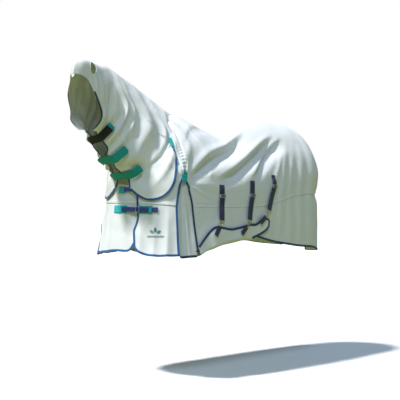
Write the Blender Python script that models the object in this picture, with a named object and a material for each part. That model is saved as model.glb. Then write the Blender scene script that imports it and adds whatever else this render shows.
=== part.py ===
"""Sweet itch rug: a horse's fly rug with a full neck cover and a hood, as it hangs when it is worn.

Lengths are in metres.  The shape is laid out in stand coordinates: x runs from the forelegs
towards the tail, -y is the near (left) side, z is the height above the floor.  An empty then
places the whole rug so that its origin is under the cloth, on the horse's back.
"""
import math

import bmesh
import bpy
from mathutils import Matrix, Vector

# ---- driving dimensions -------------------------------------------------------------------
BACK_X = 0.45            # where the origin sits along the back
BACK_HEIGHT = 1.655      # height of that point above the floor
CLOTH = 0.002            # thickness of the cloth
TAPE = 0.018             # width of the binding tape
TAPE_THICK = 0.003
GAP = 0.0006             # room between neighbouring pieces
OVER_CLOTH = CLOTH + 0.003   # where a tape lies on the outside of the cloth
WEBBING_THICK = 0.0025

# Plan outline at the widest level and at the hem: (centre x, length, half width, squareness)
FRONT_WIDE = (-0.10, 0.285, 0.335, 2.0)
FRONT_HEM = (-0.08, 0.345, 0.385, 2.6)
REAR_WIDE = (1.13, 0.255, 0.325, 2.2)
REAR_HEM = (1.13, 0.235, 0.330, 2.4)

WITHERS = 1.12           # station of the seam between neck cover and body, on the spine
TAB = 0.79               # station of the seam's lower end
TAB_HEIGHT = 1.53
GUSSET = 0.88            # station of the gusset's point
GUSSET_TOP = 1.317
GUSSET_FRONT = 0.105     # how far the gusset opens forwards, in stations
GUSSET_REAR = 0.095      # and backwards
OPENING = 0.21           # station of the near side's front edge
REAR_EDGE = 2.80         # station of the sides' rear edges, below the tail flap
FLAP_TOP = 1.44
NEAR, FAR = -1, 1


def through(points, x):
    """Height at x of a smooth curve through hand-chosen (x, height) points."""
    if x <= points[0][0]:
        return points[0][1]
    if x >= points[-1][0]:
        return points[-1][1]
    i = max(k for k in range(len(points) - 1) if points[k][0] <= x)
    x0, y0 = points[i]
    x1, y1 = points[i + 1]

    def slope(k):
        if k in (0, len(points) - 1):
            j = min(k, len(points) - 2)
            return (points[j + 1][1] - points[j][1]) / (points[j + 1][0] - points[j][0])
        return (points[k + 1][1] - points[k - 1][1]) / (points[k + 1][0] - points[k - 1][0])

    u = (x - x0) / (x1 - x0)
    a = slope(i) * (x1 - x0)
    b = slope(i + 1) * (x1 - x0)
    return ((2 * u ** 3 - 3 * u ** 2 + 1) * y0 + (u ** 3 - 2 * u ** 2 + u) * a
            + (3 * u ** 2 - 2 * u ** 3) * y1 + (u ** 3 - u ** 2) * b)


def mix(a, b, u):
    return a + (b - a) * u


def ease(a, b, x):
    """0 before a, 1 after b, and smooth between."""
    u = min(max((x - a) / (b - a), 0.0), 1.0)
    return u * u * (3 - 2 * u)


def steps(a, b, count):
    return [mix(a, b, i / count) for i in range(count + 1)]


def power(value, exponent):
    return math.copysign(abs(value) ** exponent, value)


# ---- the body of the rug ------------------------------------------------------------------
# A station q runs round one side: 0 at the middle of the chest, 1 to 2 along the flank, 3 at
# the tail.  A level v runs down it: 0 on the spine, 1 at the widest height, 2 at the hem.

SPINE = [(-0.25, 1.66), (-0.10, 1.715), (0.05, 1.725), (0.18, 1.675), (0.32, 1.635), (0.55, 1.675),
         (0.70, 1.700), (0.88, 1.714), (1.03, 1.708), (1.14, 1.685), (1.22, 1.655)]
BARREL = [(-0.10, 0.0), (0.20, 0.030), (0.50, 0.045), (0.80, 0.025), (1.13, 0.0)]
WIDEST = [(0.0, 1.20), (1.0, 1.23), (1.6, 1.22), (2.1, 1.29), (3.0, 1.30)]
HEM = [(0.0, 0.835), (0.30, 0.815), (0.78, 0.812), (0.975, 0.825), (1.06, 0.860), (1.15, 0.905),
       (1.30, 0.930), (1.43, 0.924), (1.51, 0.894), (1.62, 0.864), (1.74, 0.841), (1.89, 0.817),
       (2.10, 0.797), (2.40, 0.776), (2.80, 0.765), (3.0, 0.765)]
SEAM = [(0.0, 1.155), (0.5, 1.150), (0.9, 1.135), (1.40, 1.120), (1.60, 1.128), (1.85, 1.185),
        (2.2, 1.200), (3.0, 1.180)]
CHEST_TOP = [(-0.4, 1.262), (0.0, 1.268), (0.3, 1.300), (0.6, 1.395), (TAB, TAB_HEIGHT)]
CORNER_RISE = 0.055      # how far the hem climbs to the front opening
CORNER_WIDTH = 0.045


def plan(q, low):
    """Plan outline at station q: low is 0 at the widest level and 1 at the hem."""
    front = [mix(a, b, low) for a, b in zip(FRONT_WIDE, FRONT_HEM)]
    rear = [mix(a, b, low) for a, b in zip(REAR_WIDE, REAR_HEM)]
    if q <= 1:
        turn = math.radians(90 * q)
        x = front[0] - front[1] * power(math.cos(turn), 2 / front[3])
        return x, front[2] * power(math.sin(turn), 2 / front[3])
    if q <= 2:
        x = mix(front[0], rear[0], q - 1)
        return x, mix(front[2], rear[2], q - 1) + through(BARREL, x) * (1 - 0.55 * low)
    turn = math.radians(90 * (3 - q))
    x = rear[0] + rear[1] * power(math.cos(turn), 2 / rear[3])
    return x, rear[2] * power(math.sin(turn), 2 / rear[3])


def ridge(q):
    """The point of the spine that station q runs up to."""
    x, _ = plan(q, 0)
    if q < 1:
        x = mix(FRONT_WIDE[0], x, 0.30)
        return x, through(SPINE, x) - 0.22 * (1 - q) ** 1.4
    if q > 2:
        x = mix(REAR_WIDE[0], x, 0.32)
    return x, through(SPINE, x)


def hem(q):
    return through(HEM, abs(q))


def level(q, z):
    """The level v at which station q has the height z."""
    wide = through(WIDEST, abs(q))
    if z <= wide:
        return 1 + (wide - z) / (wide - hem(q))
    top = ridge(q)[1]
    part = min((z - wide) / (top - wide), 1.0)
    return math.degrees(math.acos(part ** (1 / 1.05))) / 90


def folds(q, v):
    """How far the cloth stands off its even shape: the main folds of the hanging cloth."""
    out = 0.0
    low = ease(0.9, 2.0, v)
    # slack rolls that run from the withers back and down over the flank
    for start, slope, width, depth in ((1.17, 0.36, 0.060, -0.010), (1.25, 0.33, 0.055, 0.009),
                                       (1.43, 0.36, 0.060, -0.011), (1.53, 0.35, 0.055, 0.010)):
        along = start + slope * (1.0 - v)
        fade = ease(0.12, 0.4, v) * (1 - ease(1.1, 1.45, v))
        out += depth * math.exp(-((q - along) / width) ** 2) * fade
    # pipes that hang from the croup to the rear hem
    if q > 1.7:
        out += 0.009 * math.sin(9.5 * (q - 1.7)) * ease(1.7, 2.0, q) * ease(0.35, 1.3, v)
    # the front panels hang in soft pipes below the chest
    if q < 0.9:
        out += 0.008 * math.sin(11.0 * q + 0.6) * low
    # the drawn-in pleat that runs up from the gusset's point
    fade = ease(0.25, 0.75, v) * (1 - ease(1.0, 1.5, v))
    return out - 0.008 * math.exp(-((q - GUSSET) / 0.06) ** 2) * fade


def body_base(side, q, v):
    top_x, top_z = ridge(q)
    wide = through(WIDEST, abs(q))
    if v <= 1:
        turn = math.radians(90 * v)
        reach = math.sin(turn) ** (2 / mix(1.75, 2.15, ease(0.9, 1.6, q)))
        x, y = plan(q, 0)
        z = wide + (top_z - wide) * math.cos(turn) ** 1.05
        return Vector((mix(top_x, x, reach), side * y * reach, z))
    x0, y0 = plan(q, 0)
    x1, y1 = plan(q, 1)
    low = (v - 1) ** 1.25
    return Vector((mix(x0, x1, low), side * mix(y0, y1, low), mix(wide, hem(q), v - 1)))


def body(side, q, v, lift=0.0):
    """A point of the body cloth, lift metres outside it."""
    step = 0.004
    v0, v1 = max(v - step, 0.0005), max(v, 0.0005) + step
    along = body_base(side, q + step, max(v, 0.002)) - body_base(side, q - step, max(v, 0.002))
    down = body_base(side, q, v1) - body_base(side, q, v0)
    out = along.cross(down) * side
    if abs(q - 3) < 1e-6 or v == 0:
        out.y = 0
    out.normalize()
    fade = ease(0.0, 0.08, v) * (1 - ease(2.9, 3.0, q))
    return body_base(side, q, v) + out * (lift + folds(q, v) * fade)


def body_at(side, q, z, lift=0.0):
    return body(side, q, level(q, z), lift)


def top_level(q):
    """The upper edge of the body cloth: spine, then neck seam, then hidden under the lobe."""
    if q >= WITHERS:
        return 0.0
    tab = level(TAB, TAB_HEIGHT)
    if q >= TAB:
        return tab * (1 - ((q - TAB) / (WITHERS - TAB)) ** 1.3)
    return level(q, through(CHEST_TOP, q))


def gusset_spread(z):
    return min(max((GUSSET_TOP - z) / 0.19, 0.0), 1.0) ** 0.6


def gusset_front(z):
    return GUSSET - GUSSET_FRONT * gusset_spread(z)


def gusset_rear(z):
    return GUSSET + GUSSET_REAR * gusset_spread(z)


# ---- meshes -------------------------------------------------------------------------------

def make_material(name, colour, roughness, metallic=0.0):
    material = bpy.data.materials.new(name)
    material.use_nodes = True
    shader = material.node_tree.nodes["Principled BSDF"]
    shader.inputs["Base Color"].default_value = (*colour, 1)
    shader.inputs["Roughness"].default_value = roughness
    shader.inputs["Metallic"].default_value = metallic
    return material


def link(name, mesh, material):
    obj = bpy.data.objects.new(name, mesh)
    mesh.materials.append(material)
    bpy.context.collection.objects.link(obj)
    obj.parent = bpy.data.objects["rug_origin"]
    return obj


def sheet(name, material, grids, thickness=CLOTH, skip=None):
    """One closed cloth solid from grids of points that share their common edges.

    Each grid is (rows, side): rows of points on the inner face.  The far side's winding is the
    mirror of the near side's.  skip(point) leaves a face out."""
    bm = bmesh.new()
    for rows, side in grids:
        verts = [[bm.verts.new(p) for p in row] for row in rows]
        for i in range(len(rows) - 1):
            for j in range(len(rows[0]) - 1):
                quad = [verts[i][j], verts[i][j + 1], verts[i + 1][j + 1], verts[i + 1][j]]
                middle = sum((w.co for w in quad), Vector()) / 4
                if skip and skip(middle):
                    continue
                bm.faces.new(quad if side == NEAR else quad[::-1])
    bmesh.ops.remove_doubles(bm, verts=bm.verts, dist=0.00005)
    loose = [w for w in bm.verts if not w.link_faces]
    bmesh.ops.delete(bm, geom=loose, context="VERTS")
    mesh = bpy.data.meshes.new(name)
    bm.to_mesh(mesh)
    bm.free()
    obj = link(name, mesh, material)
    solid = obj.modifiers.new("thickness", "SOLIDIFY")
    solid.thickness = thickness
    solid.offset = 1
    return obj


def ribbon(name, material, points, outs, width, thickness=WEBBING_THICK):
    """A flat strap along points; outs are the directions that it faces."""
    bm = bmesh.new()
    rings = []
    for i, p in enumerate(points):
        ahead = points[min(i + 1, len(points) - 1)] - points[max(i - 1, 0)]
        out = outs[i].normalized()
        across = ahead.cross(out).normalized() * (width[i] if isinstance(width, list) else width) / 2
        out = across.cross(ahead).normalized() * thickness
        rings.append([bm.verts.new(p + k) for k in (-across, across, across + out, -across + out)])
    for a, b in zip(rings, rings[1:]):
        for k in range(4):
            bm.faces.new((a[k], a[(k + 1) % 4], b[(k + 1) % 4], b[k]))
    bm.faces.new(rings[0][::-1])
    bm.faces.new(rings[-1])
    bmesh.ops.recalc_face_normals(bm, faces=bm.faces)
    mesh = bpy.data.meshes.new(name)
    bm.to_mesh(mesh)
    bm.free()
    return link(name, mesh, material)


def frame_bar(name, material, centre, along, out, size, bar, thickness, middle_bar=False):
    """A rectangular slide or buckle with its slots: size is (length along, width across)."""
    along, out = along.normalized(), out.normalized()
    across = along.cross(out).normalized()
    half_a, half_c = size[0] / 2, size[1] / 2
    edges_a = [-half_a, -half_a + bar, half_a - bar, half_a]
    if middle_bar:
        edges_a = [-half_a, -half_a + bar, -bar / 2, bar / 2, half_a - bar, half_a]
    edges_c = [-half_c, -half_c + bar, half_c - bar, half_c]
    bm = bmesh.new()
    layers = [[[bm.verts.new(centre + along * a + across * c + out * h) for c in edges_c]
               for a in edges_a] for h in (0.0, thickness)]

    def filled(i, j):
        return j != 1 or i % 2 == 0

    cells = [(i, j) for i in range(len(edges_a) - 1) for j in range(3) if filled(i, j)]
    for i, j in cells:
        for layer, flip in ((layers[0], True), (layers[1], False)):
            quad = [layer[i][j], layer[i + 1][j], layer[i + 1][j + 1], layer[i][j + 1]]
            bm.faces.new(quad[::-1] if flip else quad)
    low, high = layers
    for i, j in cells:
        for (ni, nj), (a, b) in (((i - 1, j), ((i, j), (i, j + 1))),
                                 ((i + 1, j), ((i + 1, j), (i + 1, j + 1))),
                                 ((i, j - 1), ((i, j), (i + 1, j))),
                                 ((i, j + 1), ((i, j + 1), (i + 1, j + 1)))):
            if (ni, nj) not in cells:
                bm.faces.new((low[a[0]][a[1]], low[b[0]][b[1]], high[b[0]][b[1]], high[a[0]][a[1]]))
    bmesh.ops.recalc_face_normals(bm, faces=bm.faces)
    mesh = bpy.data.meshes.new(name)
    bm.to_mesh(mesh)
    bm.free()
    return link(name, mesh, material)


# ---- body panels --------------------------------------------------------------------------

UPPER_ROWS, MID_ROWS, LOW_ROWS = 7, 2, 4
TAPE_Q = 0.040           # the tape's width in stations, at the chest
CHEST_COLUMNS = 6


def mid_height(q):
    """The height, level with the gusset's point, at which the rows change."""
    return mix(1.235, GUSSET_TOP, ease(-0.2, GUSSET, q)) if q < GUSSET else GUSSET_TOP


def upper_rows(q):
    seam = level(q, through(SEAM, abs(q)) + GAP)
    middle = level(q, mid_height(q))
    return steps(top_level(q), middle, UPPER_ROWS) + steps(middle, seam, MID_ROWS)[1:]


def lower_rows(q):
    seam = level(q, through(SEAM, abs(q)) - GAP)
    return steps(seam, level(q, hem(q) + TAPE + 4 * GAP), LOW_ROWS)


def edge_shift(side, q, low):
    """The hem's climb to the front opening."""
    if q > 0.6:
        return 0.0
    return CORNER_RISE * math.exp(-abs(q - side_edge(side)) / CORNER_WIDTH) * low


def side_edge(side):
    """Station of the front edge: the far side laps under the near side."""
    return OPENING if side == NEAR else -OPENING - 0.05


def lap(side, q):
    """The far front runs inside the near front where they lap."""
    return -0.009 * (1 - ease(-0.16, -0.02, q)) if side == FAR else 0.0


SEAM_STATIONS = (WITHERS, 1.04, 0.96, GUSSET, TAB)


def halved(p, side):
    """Moves a point of one half off the line where the two halves meet."""
    return p + Vector((0, side * 0.0010 * (1 - ease(0.0, 0.06, abs(p.y))), 0))


def make_body(cloth):
    """The upper body, cut as two halves that meet along the spine and the tail."""
    rear_y = abs(body_base(NEAR, REAR_EDGE, 1.0).y)

    def below_flap(p):
        return p.x > REAR_WIDE[0] and abs(p.y) < rear_y and p.z < FLAP_TOP

    for side in (NEAR, FAR):
        start = side_edge(side) + TAPE_Q + 0.002

        def chest(u, v, side=side, start=start):
            z = body_base(side, mix(start, GUSSET, u), v).z
            below = GUSSET_TOP - z
            end = gusset_front(z) - (TAPE_Q + 0.002) * ease(0.0, 0.02, below) if below > 0.0005 else GUSSET
            q = mix(start, end, u)
            return body(side, q, v, lap(side, q))

        front = [[] for _ in range(UPPER_ROWS + MID_ROWS + 1)]
        tab = (TAB - start) / (GUSSET - start)
        for u in steps(0, tab, CHEST_COLUMNS) + [1.0]:
            for row, v in zip(front, upper_rows(mix(start, GUSSET, u))):
                row.append(halved(chest(u, v), side))

        stations = list(SEAM_STATIONS[3::-1]) + steps(WITHERS, 2, 11)[1:]
        stations += steps(2, REAR_EDGE, 6)[1:] + [2.9, 3.0]
        flank = [[] for _ in range(UPPER_ROWS + MID_ROWS + 1)]
        for q in stations:
            for row, v in zip(flank, upper_rows(q)):
                z = body_base(side, q, v).z
                below = GUSSET_TOP - z
                shift = 0.0
                if below > 0.0005:
                    shift = gusset_rear(z) - GUSSET + (TAPE_Q * 0.9 + 0.002) * ease(0.0, 0.02, below)
                row.append(halved(body(side, q + shift * (1 - ease(GUSSET, GUSSET + 0.45, q)), v), side))
        sheet("upper_body_" + side_name(side), cloth, [(front, side), (flank, side)], skip=below_flap)


def make_front_panel(side, cloth):
    start = side_edge(side) + TAPE_Q + 0.002
    rows = [[] for _ in range(LOW_ROWS + 1)]
    for u in steps(0, 1, CHEST_COLUMNS):
        q0 = mix(start, GUSSET, u)
        for k, (row, v) in enumerate(zip(rows, lower_rows(q0))):
            z = body_base(side, q0, v).z
            q = mix(start, gusset_front(z) - TAPE_Q - 0.002, u)
            p = body(side, q, v, lap(side, q))
            p.z += edge_shift(side, q, (k / LOW_ROWS) ** 2)
            row.append(p)
    sheet("front_panel_" + side_name(side), cloth, [(rows, side)])


def side_name(side):
    return "near" if side == NEAR else "far"


def make_side_panel(side, cloth):
    stations = steps(GUSSET, WITHERS, 3) + steps(WITHERS, 2, 11)[1:] + steps(2, REAR_EDGE, 6)[1:]
    rows = [[] for _ in range(LOW_ROWS + 1)]
    for q in stations:
        for row, v in zip(rows, lower_rows(q)):
            shift = GUSSET_REAR + TAPE_Q * 0.9 + 0.002
            row.append(body(side, q + shift * (1 - ease(GUSSET, GUSSET + 0.45, q)), v))
    sheet("lower_side_" + side_name(side), cloth, [(rows, side)])


def make_gusset(side, cloth, tape):
    rows = []
    heights = [GUSSET_TOP - 0.03 - 0.47 * (k / 7) ** 1.2 for k in range(8)]
    for z in heights:
        row = []
        for u in steps(0, 1, 4):
            q = mix(gusset_front(z) + 0.003, gusset_rear(z) - 0.003, u)
            v = level(q, z)
            row.append(body(side, q, v, -0.012 * math.sin(math.pi * u)))
        rows.append(row)
    sheet("gusset_" + side_name(side), cloth, [(rows, side)])
    low = []
    for drop in (GAP + 0.001, TAPE):
        row = []
        for u in steps(0, 1, 4):
            z = heights[-1]
            q = mix(gusset_front(z) + 0.003, gusset_rear(z) - 0.003, u)
            p = body(side, q, level(q, z), -0.012 * math.sin(math.pi * u))
            p.z -= drop
            row.append(p)
        low.append(row)
    sheet("gusset_hem_binding_" + side_name(side), tape, [(low, side)], TAPE_THICK)


def tape_along(name, material, surface, places, lift=0.0, width=TAPE - 0.003, thickness=TAPE_THICK,
               rises=None):
    """A flat strap over a surface; lift, or a list of lifts, is how far it stands off it."""
    lifts = lift if isinstance(lift, list) else [lift] * len(places)
    points = [surface(*place, up) for place, up in zip(places, lifts)]
    outs = [surface(*place, up + 0.01) - p for place, up, p in zip(places, lifts, points)]
    for p, rise in zip(points, rises or []):
        p.z += rise
    return ribbon(name, material, points, outs, width, thickness)


def front_point(side, q, z, lift=0.0):
    return body_at(side, q, z, lift + lap(side, q))


def make_front_binding(side, tape):
    """One tape down the front edge, along the hem and up to the gusset's point."""
    edge = side_edge(side) + TAPE_Q / 2
    top = body_base(side, edge, top_level(edge)).z
    bottom = hem(edge) + TAPE / 2
    stops = [(edge, z) for z in steps(top, bottom + 0.02, 11)]
    rises = [edge_shift(side, q, ease(top, bottom, z) ** 8) for q, z in stops]
    low = [(q, hem(q) + TAPE / 2) for q in steps(edge, gusset_front(0.82) - TAPE_Q / 2, 9)]
    rises += [edge_shift(side, q, 1.0) for q, _ in low]
    climb = [(gusset_front(z) - TAPE_Q / 2, z) for z in steps(bottom + 0.03, GUSSET_TOP - 0.035, 9)]
    rises += [0.0] * len(climb)
    places = [(side, q, z) for q, z in stops + low + climb]
    tape_along("front_binding_" + side_name(side), tape, front_point, places, rises=rises)


def make_side_binding(side, tape):
    """One tape down the gusset's rear edge, along the hem and up the rear edge."""
    down = [(gusset_rear(z) + TAPE_Q * 0.45, z) for z in steps(GUSSET_TOP - 0.035, 0.86, 9)]
    stations = [1.0, 1.04, 1.09] + steps(1.15, 2, 9) + steps(2.1, REAR_EDGE + 0.03, 6)
    low = [(q, hem(q) + TAPE / 2) for q in stations]
    up = [(REAR_EDGE + 0.03, z) for z in steps(0.82, FLAP_TOP - 0.06, 6)]
    places = [(side, q, z) for q, z in down + low + up]
    tape_along("side_binding_" + side_name(side), tape, body_at, places)


# ---- tail flap ----------------------------------------------------------------------------

def make_tail_flap(cloth):
    rows = []
    for k in range(7):
        z = mix(FLAP_TOP + 0.03, 1.165, k / 6)
        bulge = 0.008 + 0.030 * math.sin(math.pi * min(k / 6, 1.0) ** 0.9)
        row = [body_at(NEAR, q, z, bulge) for q in steps(2.72, 3.0, 4)]
        row += [body_at(FAR, q, z, bulge) for q in steps(2.72, 3.0, 4)[::-1][1:]]
        rows.append(row)
    sheet("tail_flap", cloth, [(rows, NEAR)])


# ---- neck cover ---------------------------------------------------------------------------
# s runs along the neck: 0 at the hood's seam, 1 at the body.  t runs round it: 0 on the crest,
# 1 at the front edge under the throat.

CREST = [(0.0, -0.570, 2.030), (0.17, -0.470, 1.982), (0.38, -0.350, 1.925), (0.56, -0.240, 1.866),
         (0.76, -0.110, 1.798), (0.86, -0.045, 1.757), (1.0, 0.045, 1.728)]
THROAT = [(0.0, -0.658, 1.612), (0.1, -0.620, 1.566), (0.3, -0.552, 1.466), (0.5, -0.504, 1.410),
          (0.78, -0.440, 1.335), (1.0, -0.395, 1.288)]
NECK_WIDTH = [(0.0, 0.100), (0.3, 0.128), (0.6, 0.165), (1.0, 0.235)]
THROAT_EDGE = 0.040      # the front edges hang this far from the middle
LOBE_START = 0.42        # the place round the neck where the lobe starts
LOBE_LIFT = 0.012
SEAM_LIFT = 0.006
NECK_ROOT = [(LOBE_START, TAB), (0.62, 0.55), (0.82, 0.27), (1.0, 0.09)]
ROOT_HEIGHT = [(LOBE_START, TAB_HEIGHT), (0.62, 1.425), (0.82, 1.345), (1.0, 1.290)]
LOBE = [(LOBE_START, 0.79, 1.530), (0.47, 0.803, 1.470), (0.53, 0.790, 1.405), (0.59, 0.755, 1.335),
        (0.66, 0.705, 1.265), (0.73, 0.620, 1.210), (0.80, 0.520, 1.180), (0.86, 0.410, 1.170),
        (0.91, 0.310, 1.182), (0.95, 0.215, 1.210), (0.98, 0.135, 1.245), (1.0, 0.09, 1.283)]
HEAD_TURN = math.radians(25)
HEAD = Vector((-0.66, 0.0, 0.0))
HEAD_AHEAD = Vector((-math.cos(HEAD_TURN), -math.sin(HEAD_TURN), 0))
HEAD_LEFT = Vector((math.sin(HEAD_TURN), -math.cos(HEAD_TURN), 0))
# Round the face opening: (place, ahead of the head's middle, out to the side, height)
FACE_EDGE = [(0.0, 0.262, 0.0, 1.950), (0.1, 0.225, 0.035, 1.944), (0.2, 0.175, 0.060, 1.915),
             (0.42, 0.145, 0.090, 1.832), (0.62, 0.080, 0.101, 1.730), (0.78, 0.082, 0.098, 1.672),
             (0.90, 0.076, 0.060, 1.627), (1.0, 0.070, 0.030, 1.612)]


def column(table, k):
    return [(row[0], row[k]) for row in table]


def neck_root(t):
    """The station of the body that the place t round the neck comes down to."""
    if t <= LOBE_START:
        return mix(WITHERS, TAB, t / LOBE_START)
    return through(NECK_ROOT, t)


def lap_lift(t):
    """The cover laps over the body: closely at the seam, loosely at the lobe."""
    return mix(SEAM_LIFT, LOBE_LIFT, ease(LOBE_START - 0.02, LOBE_START + 0.08, t))


def neck_base(side, s, t):
    """The cover's inner face, before its folds."""
    run = min(s, 1.0)
    crest = Vector((through(column(CREST, 1), run), 0, through(column(CREST, 2), run)))
    throat = Vector((through(column(THROAT, 1), run), 0, through(column(THROAT, 2), run)))
    turn = math.pi * t
    down = (1 - math.cos(turn)) / 2
    width = through(NECK_WIDTH, run) * math.sin(turn) ** 0.85 * (0.86 + 0.22 * t) + THROAT_EDGE * t ** 5
    yaw = HEAD_TURN * 0.75 * (1 - ease(0.0, 0.45, run))
    left = Vector((math.sin(yaw), -math.cos(yaw), 0))
    tube = crest.lerp(throat, down) + left * (-side * width)
    blend = ease(0.45, 1.0, run)
    if blend > 0:
        lift = lap_lift(t)
        q = neck_root(t)
        v = top_level(q) if t <= LOBE_START else level(q, through(ROOT_HEIGHT, t))
        tube = tube.lerp(body(side, q, v, lift), blend)
    return tube


def lobe_length(t):
    """How far the cover goes on past the neck's root, as a share of the neck."""
    return 0.0 if t <= LOBE_START else 0.9 * math.sin(math.pi * (t - LOBE_START) / (1 - LOBE_START)) ** 0.7


def neck_even(side, s, t):
    run = s * (1 + lobe_length(t))
    if run <= 1 or t <= LOBE_START:
        return neck_base(side, run, t)
    part = (run - 1) / lobe_length(t)
    q = mix(neck_root(t), through(column(LOBE, 1), t), part)
    z = mix(through(ROOT_HEIGHT, t), through(column(LOBE, 2), t), part)
    return body_at(side, q, z, lap_lift(t))


def neck(side, s, t, lift=0.0):
    step = 0.01
    s0, s1 = max(s - step, 0), min(s + step, 1)
    t0, t1 = max(t - step, 0.001), min(t + step, 1)
    out = (neck_even(side, s1, t) - neck_even(side, s0, t)).cross(
        neck_even(side, s, t1) - neck_even(side, s, t0)) * side
    if t < 0.001:
        out.y = 0
    out.normalize()
    wave = math.sin(16 * s + 5 * t) + 0.6 * math.sin(27 * s - 3 * t + 1)
    fold = 0.006 * wave * ease(0.03, 0.3, t) * ease(0.04, 0.2, s) * (1 - ease(0.80, 0.98, s))
    return neck_even(side, s, t) + out * (lift + fold)


def make_neck(side, cloth):
    name = "neck_cover_" + side_name(side)
    rounds = [LOBE_START * (WITHERS - q) / (WITHERS - TAB) for q in SEAM_STATIONS]
    rounds = [0.010] + rounds[1:] + steps(LOBE_START, 0.975, 9)[1:]
    rows = [[neck(side, s, t) for s in steps(0.008, 1.0, 12)[:-1] + [0.9965]] for t in rounds]
    sheet(name, cloth, [(rows, -side)])


def make_neck_bindings(side, tape):
    rounds = steps(LOBE_START + 0.045, 0.955, 13)
    places = [(side, 0.985, t) for t in rounds]
    tape_along("lobe_binding_" + side_name(side), tape, neck, places, OVER_CLOTH, thickness=0.002)
    places = [(side, s, 0.965) for s in steps(0.02, 0.66, 11)]
    tape_along("throat_binding_" + side_name(side), tape, neck, places, OVER_CLOTH, 0.012, 0.002)


def hood_even(side, a, t):
    """a runs from the neck's seam, 0, to the face opening, 1."""
    start = neck(side, 0.0, t)
    edge = (HEAD + HEAD_AHEAD * through(column(FACE_EDGE, 1), t)
            - HEAD_LEFT * side * through(column(FACE_EDGE, 2), t))
    edge.z = through(column(FACE_EDGE, 3), t)
    point = start.lerp(edge, a)
    point.z += 0.072 * math.sin(math.pi * a ** 1.6) * (1 - ease(0.05, 0.40, t))
    sideways = math.sin(math.pi * min(t, 0.95)) * 0.064 * a * (1 - a)
    return point - HEAD_LEFT * side * sideways


def hood(side, a, t, lift=0.0):
    step = 0.02
    t0 = max(t - step, 0.001)
    out = (hood_even(side, min(a + step, 1), t) - hood_even(side, max(a - step, 0), t)).cross(
        hood_even(side, a, min(t + step, 1)) - hood_even(side, a, t0)) * -side
    if t < 0.001:
        out -= HEAD_LEFT * out.dot(HEAD_LEFT)
    return hood_even(side, a, t) + out.normalized() * lift


def hood_inset(side, t, margin):
    """The place a that lies margin metres short of the face opening."""
    return 1 - margin / (hood(side, 1.0, t) - hood(side, 0.0, t)).length


def make_hood(cloth, tape):
    grids = []
    for side in (NEAR, FAR):
        rounds = steps(0.0, 0.42, 5) + steps(0.42, 0.97, 5)[1:]
        rows = [[hood(side, a, t) for a in steps(0.012, 1.0, 8)] for t in rounds]
        grids.append((rows, side))
    obj = sheet("hood", cloth, grids)
    for side in (NEAR, FAR):
        centre = HEAD + HEAD_AHEAD * 0.128 - HEAD_LEFT * side * 0.066 + Vector((0, 0, 1.985))
        out = Vector((0, 0, 0.80)) - HEAD_LEFT * side * 0.60
        bm = bmesh.new()
        bmesh.ops.create_cone(bm, cap_ends=True, segments=16, radius1=0.031, radius2=0.031, depth=0.20)
        turn = out.to_track_quat("Z", "Y").to_matrix().to_4x4()
        bmesh.ops.transform(bm, matrix=Matrix.Translation(centre) @ turn, verts=bm.verts)
        mesh = bpy.data.meshes.new("ear_cutter_" + side_name(side))
        bm.to_mesh(mesh)
        bm.free()
        cutter = link(mesh.name, mesh, cloth)
        cutter.hide_render = True
        cutter.display_type = "WIRE"
        cut = obj.modifiers.new("ear_hole", "BOOLEAN")
        cut.object = cutter
        cut.operation = "DIFFERENCE"
    rounds = steps(0.0, 0.97, 11)
    ring = [(NEAR, t) for t in rounds[::-1]] + [(FAR, t) for t in rounds[1:]]
    ring = [(side, hood_inset(side, t, 0.006), t) for side, t in ring]
    tape_along("face_binding", tape, hood, ring, OVER_CLOTH, 0.012, 0.002)


# ---- belly wrap ---------------------------------------------------------------------------

WRAP_EDGE = [(0.0, 1.000, 0.865), (0.10, 1.050, 0.920), (0.20, 1.100, 0.970), (0.29, 1.145, 0.996),
             (0.38, 1.200, 0.986), (0.48, 1.265, 0.974), (0.58, 1.335, 0.982), (0.70, 1.415, 0.997),
             (0.79, 1.475, 1.000), (0.89, 1.545, 1.040), (1.0, 1.597, 1.022)]
WRAP_LOW = [(0.0, 1.005, 0.818), (0.25, 1.10, 0.866), (0.6, 1.28, 0.906), (0.85, 1.42, 0.908),
            (1.0, 1.49, 0.888)]
BELLY = [(0.0, 0.795), (0.15, 0.812), (0.35, 0.830), (0.6, 0.852), (0.85, 0.872), (1.0, 0.880)]
WRAP_LIFT = 0.008


def wrap(u, w, lift=0.0):
    """u runs back along the belly; w goes from the near edge, 0, under it to the far side, 1."""
    q0, z0 = through(column(WRAP_EDGE, 1), u), through(column(WRAP_EDGE, 2), u)
    q1, z1 = through(column(WRAP_LOW, 1), u), through(column(WRAP_LOW, 2), u)
    if w < 0.3:
        part = w / 0.3
        return body_at(NEAR, mix(q0, q1, part), mix(z0, z1, part), WRAP_LIFT + lift)
    near = body_at(NEAR, q1, z1, WRAP_LIFT + lift)
    far_q = mix(1.06, 1.44, u)
    far = body(FAR, far_q, 2.0, lift) - Vector((0, 0, GAP * 4))
    bottom = through(BELLY, u) - lift
    if w < 0.65:
        turn = math.radians(90) * (w - 0.3) / 0.35
        x = mix(near.x, mix(near.x, far.x, 0.5), (w - 0.3) / 0.35)
        z = near.z - (near.z - bottom) * math.sin(turn) ** 0.8
        return Vector((x, near.y * math.cos(turn) ** 0.8, z))
    turn = math.radians(90) * (1 - w) / 0.35
    x = mix(far.x, mix(near.x, far.x, 0.5), (1 - w) / 0.35)
    z = far.z - (far.z - bottom) * math.sin(turn) ** 0.8
    return Vector((x, far.y * math.cos(turn) ** 0.8, z))


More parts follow.
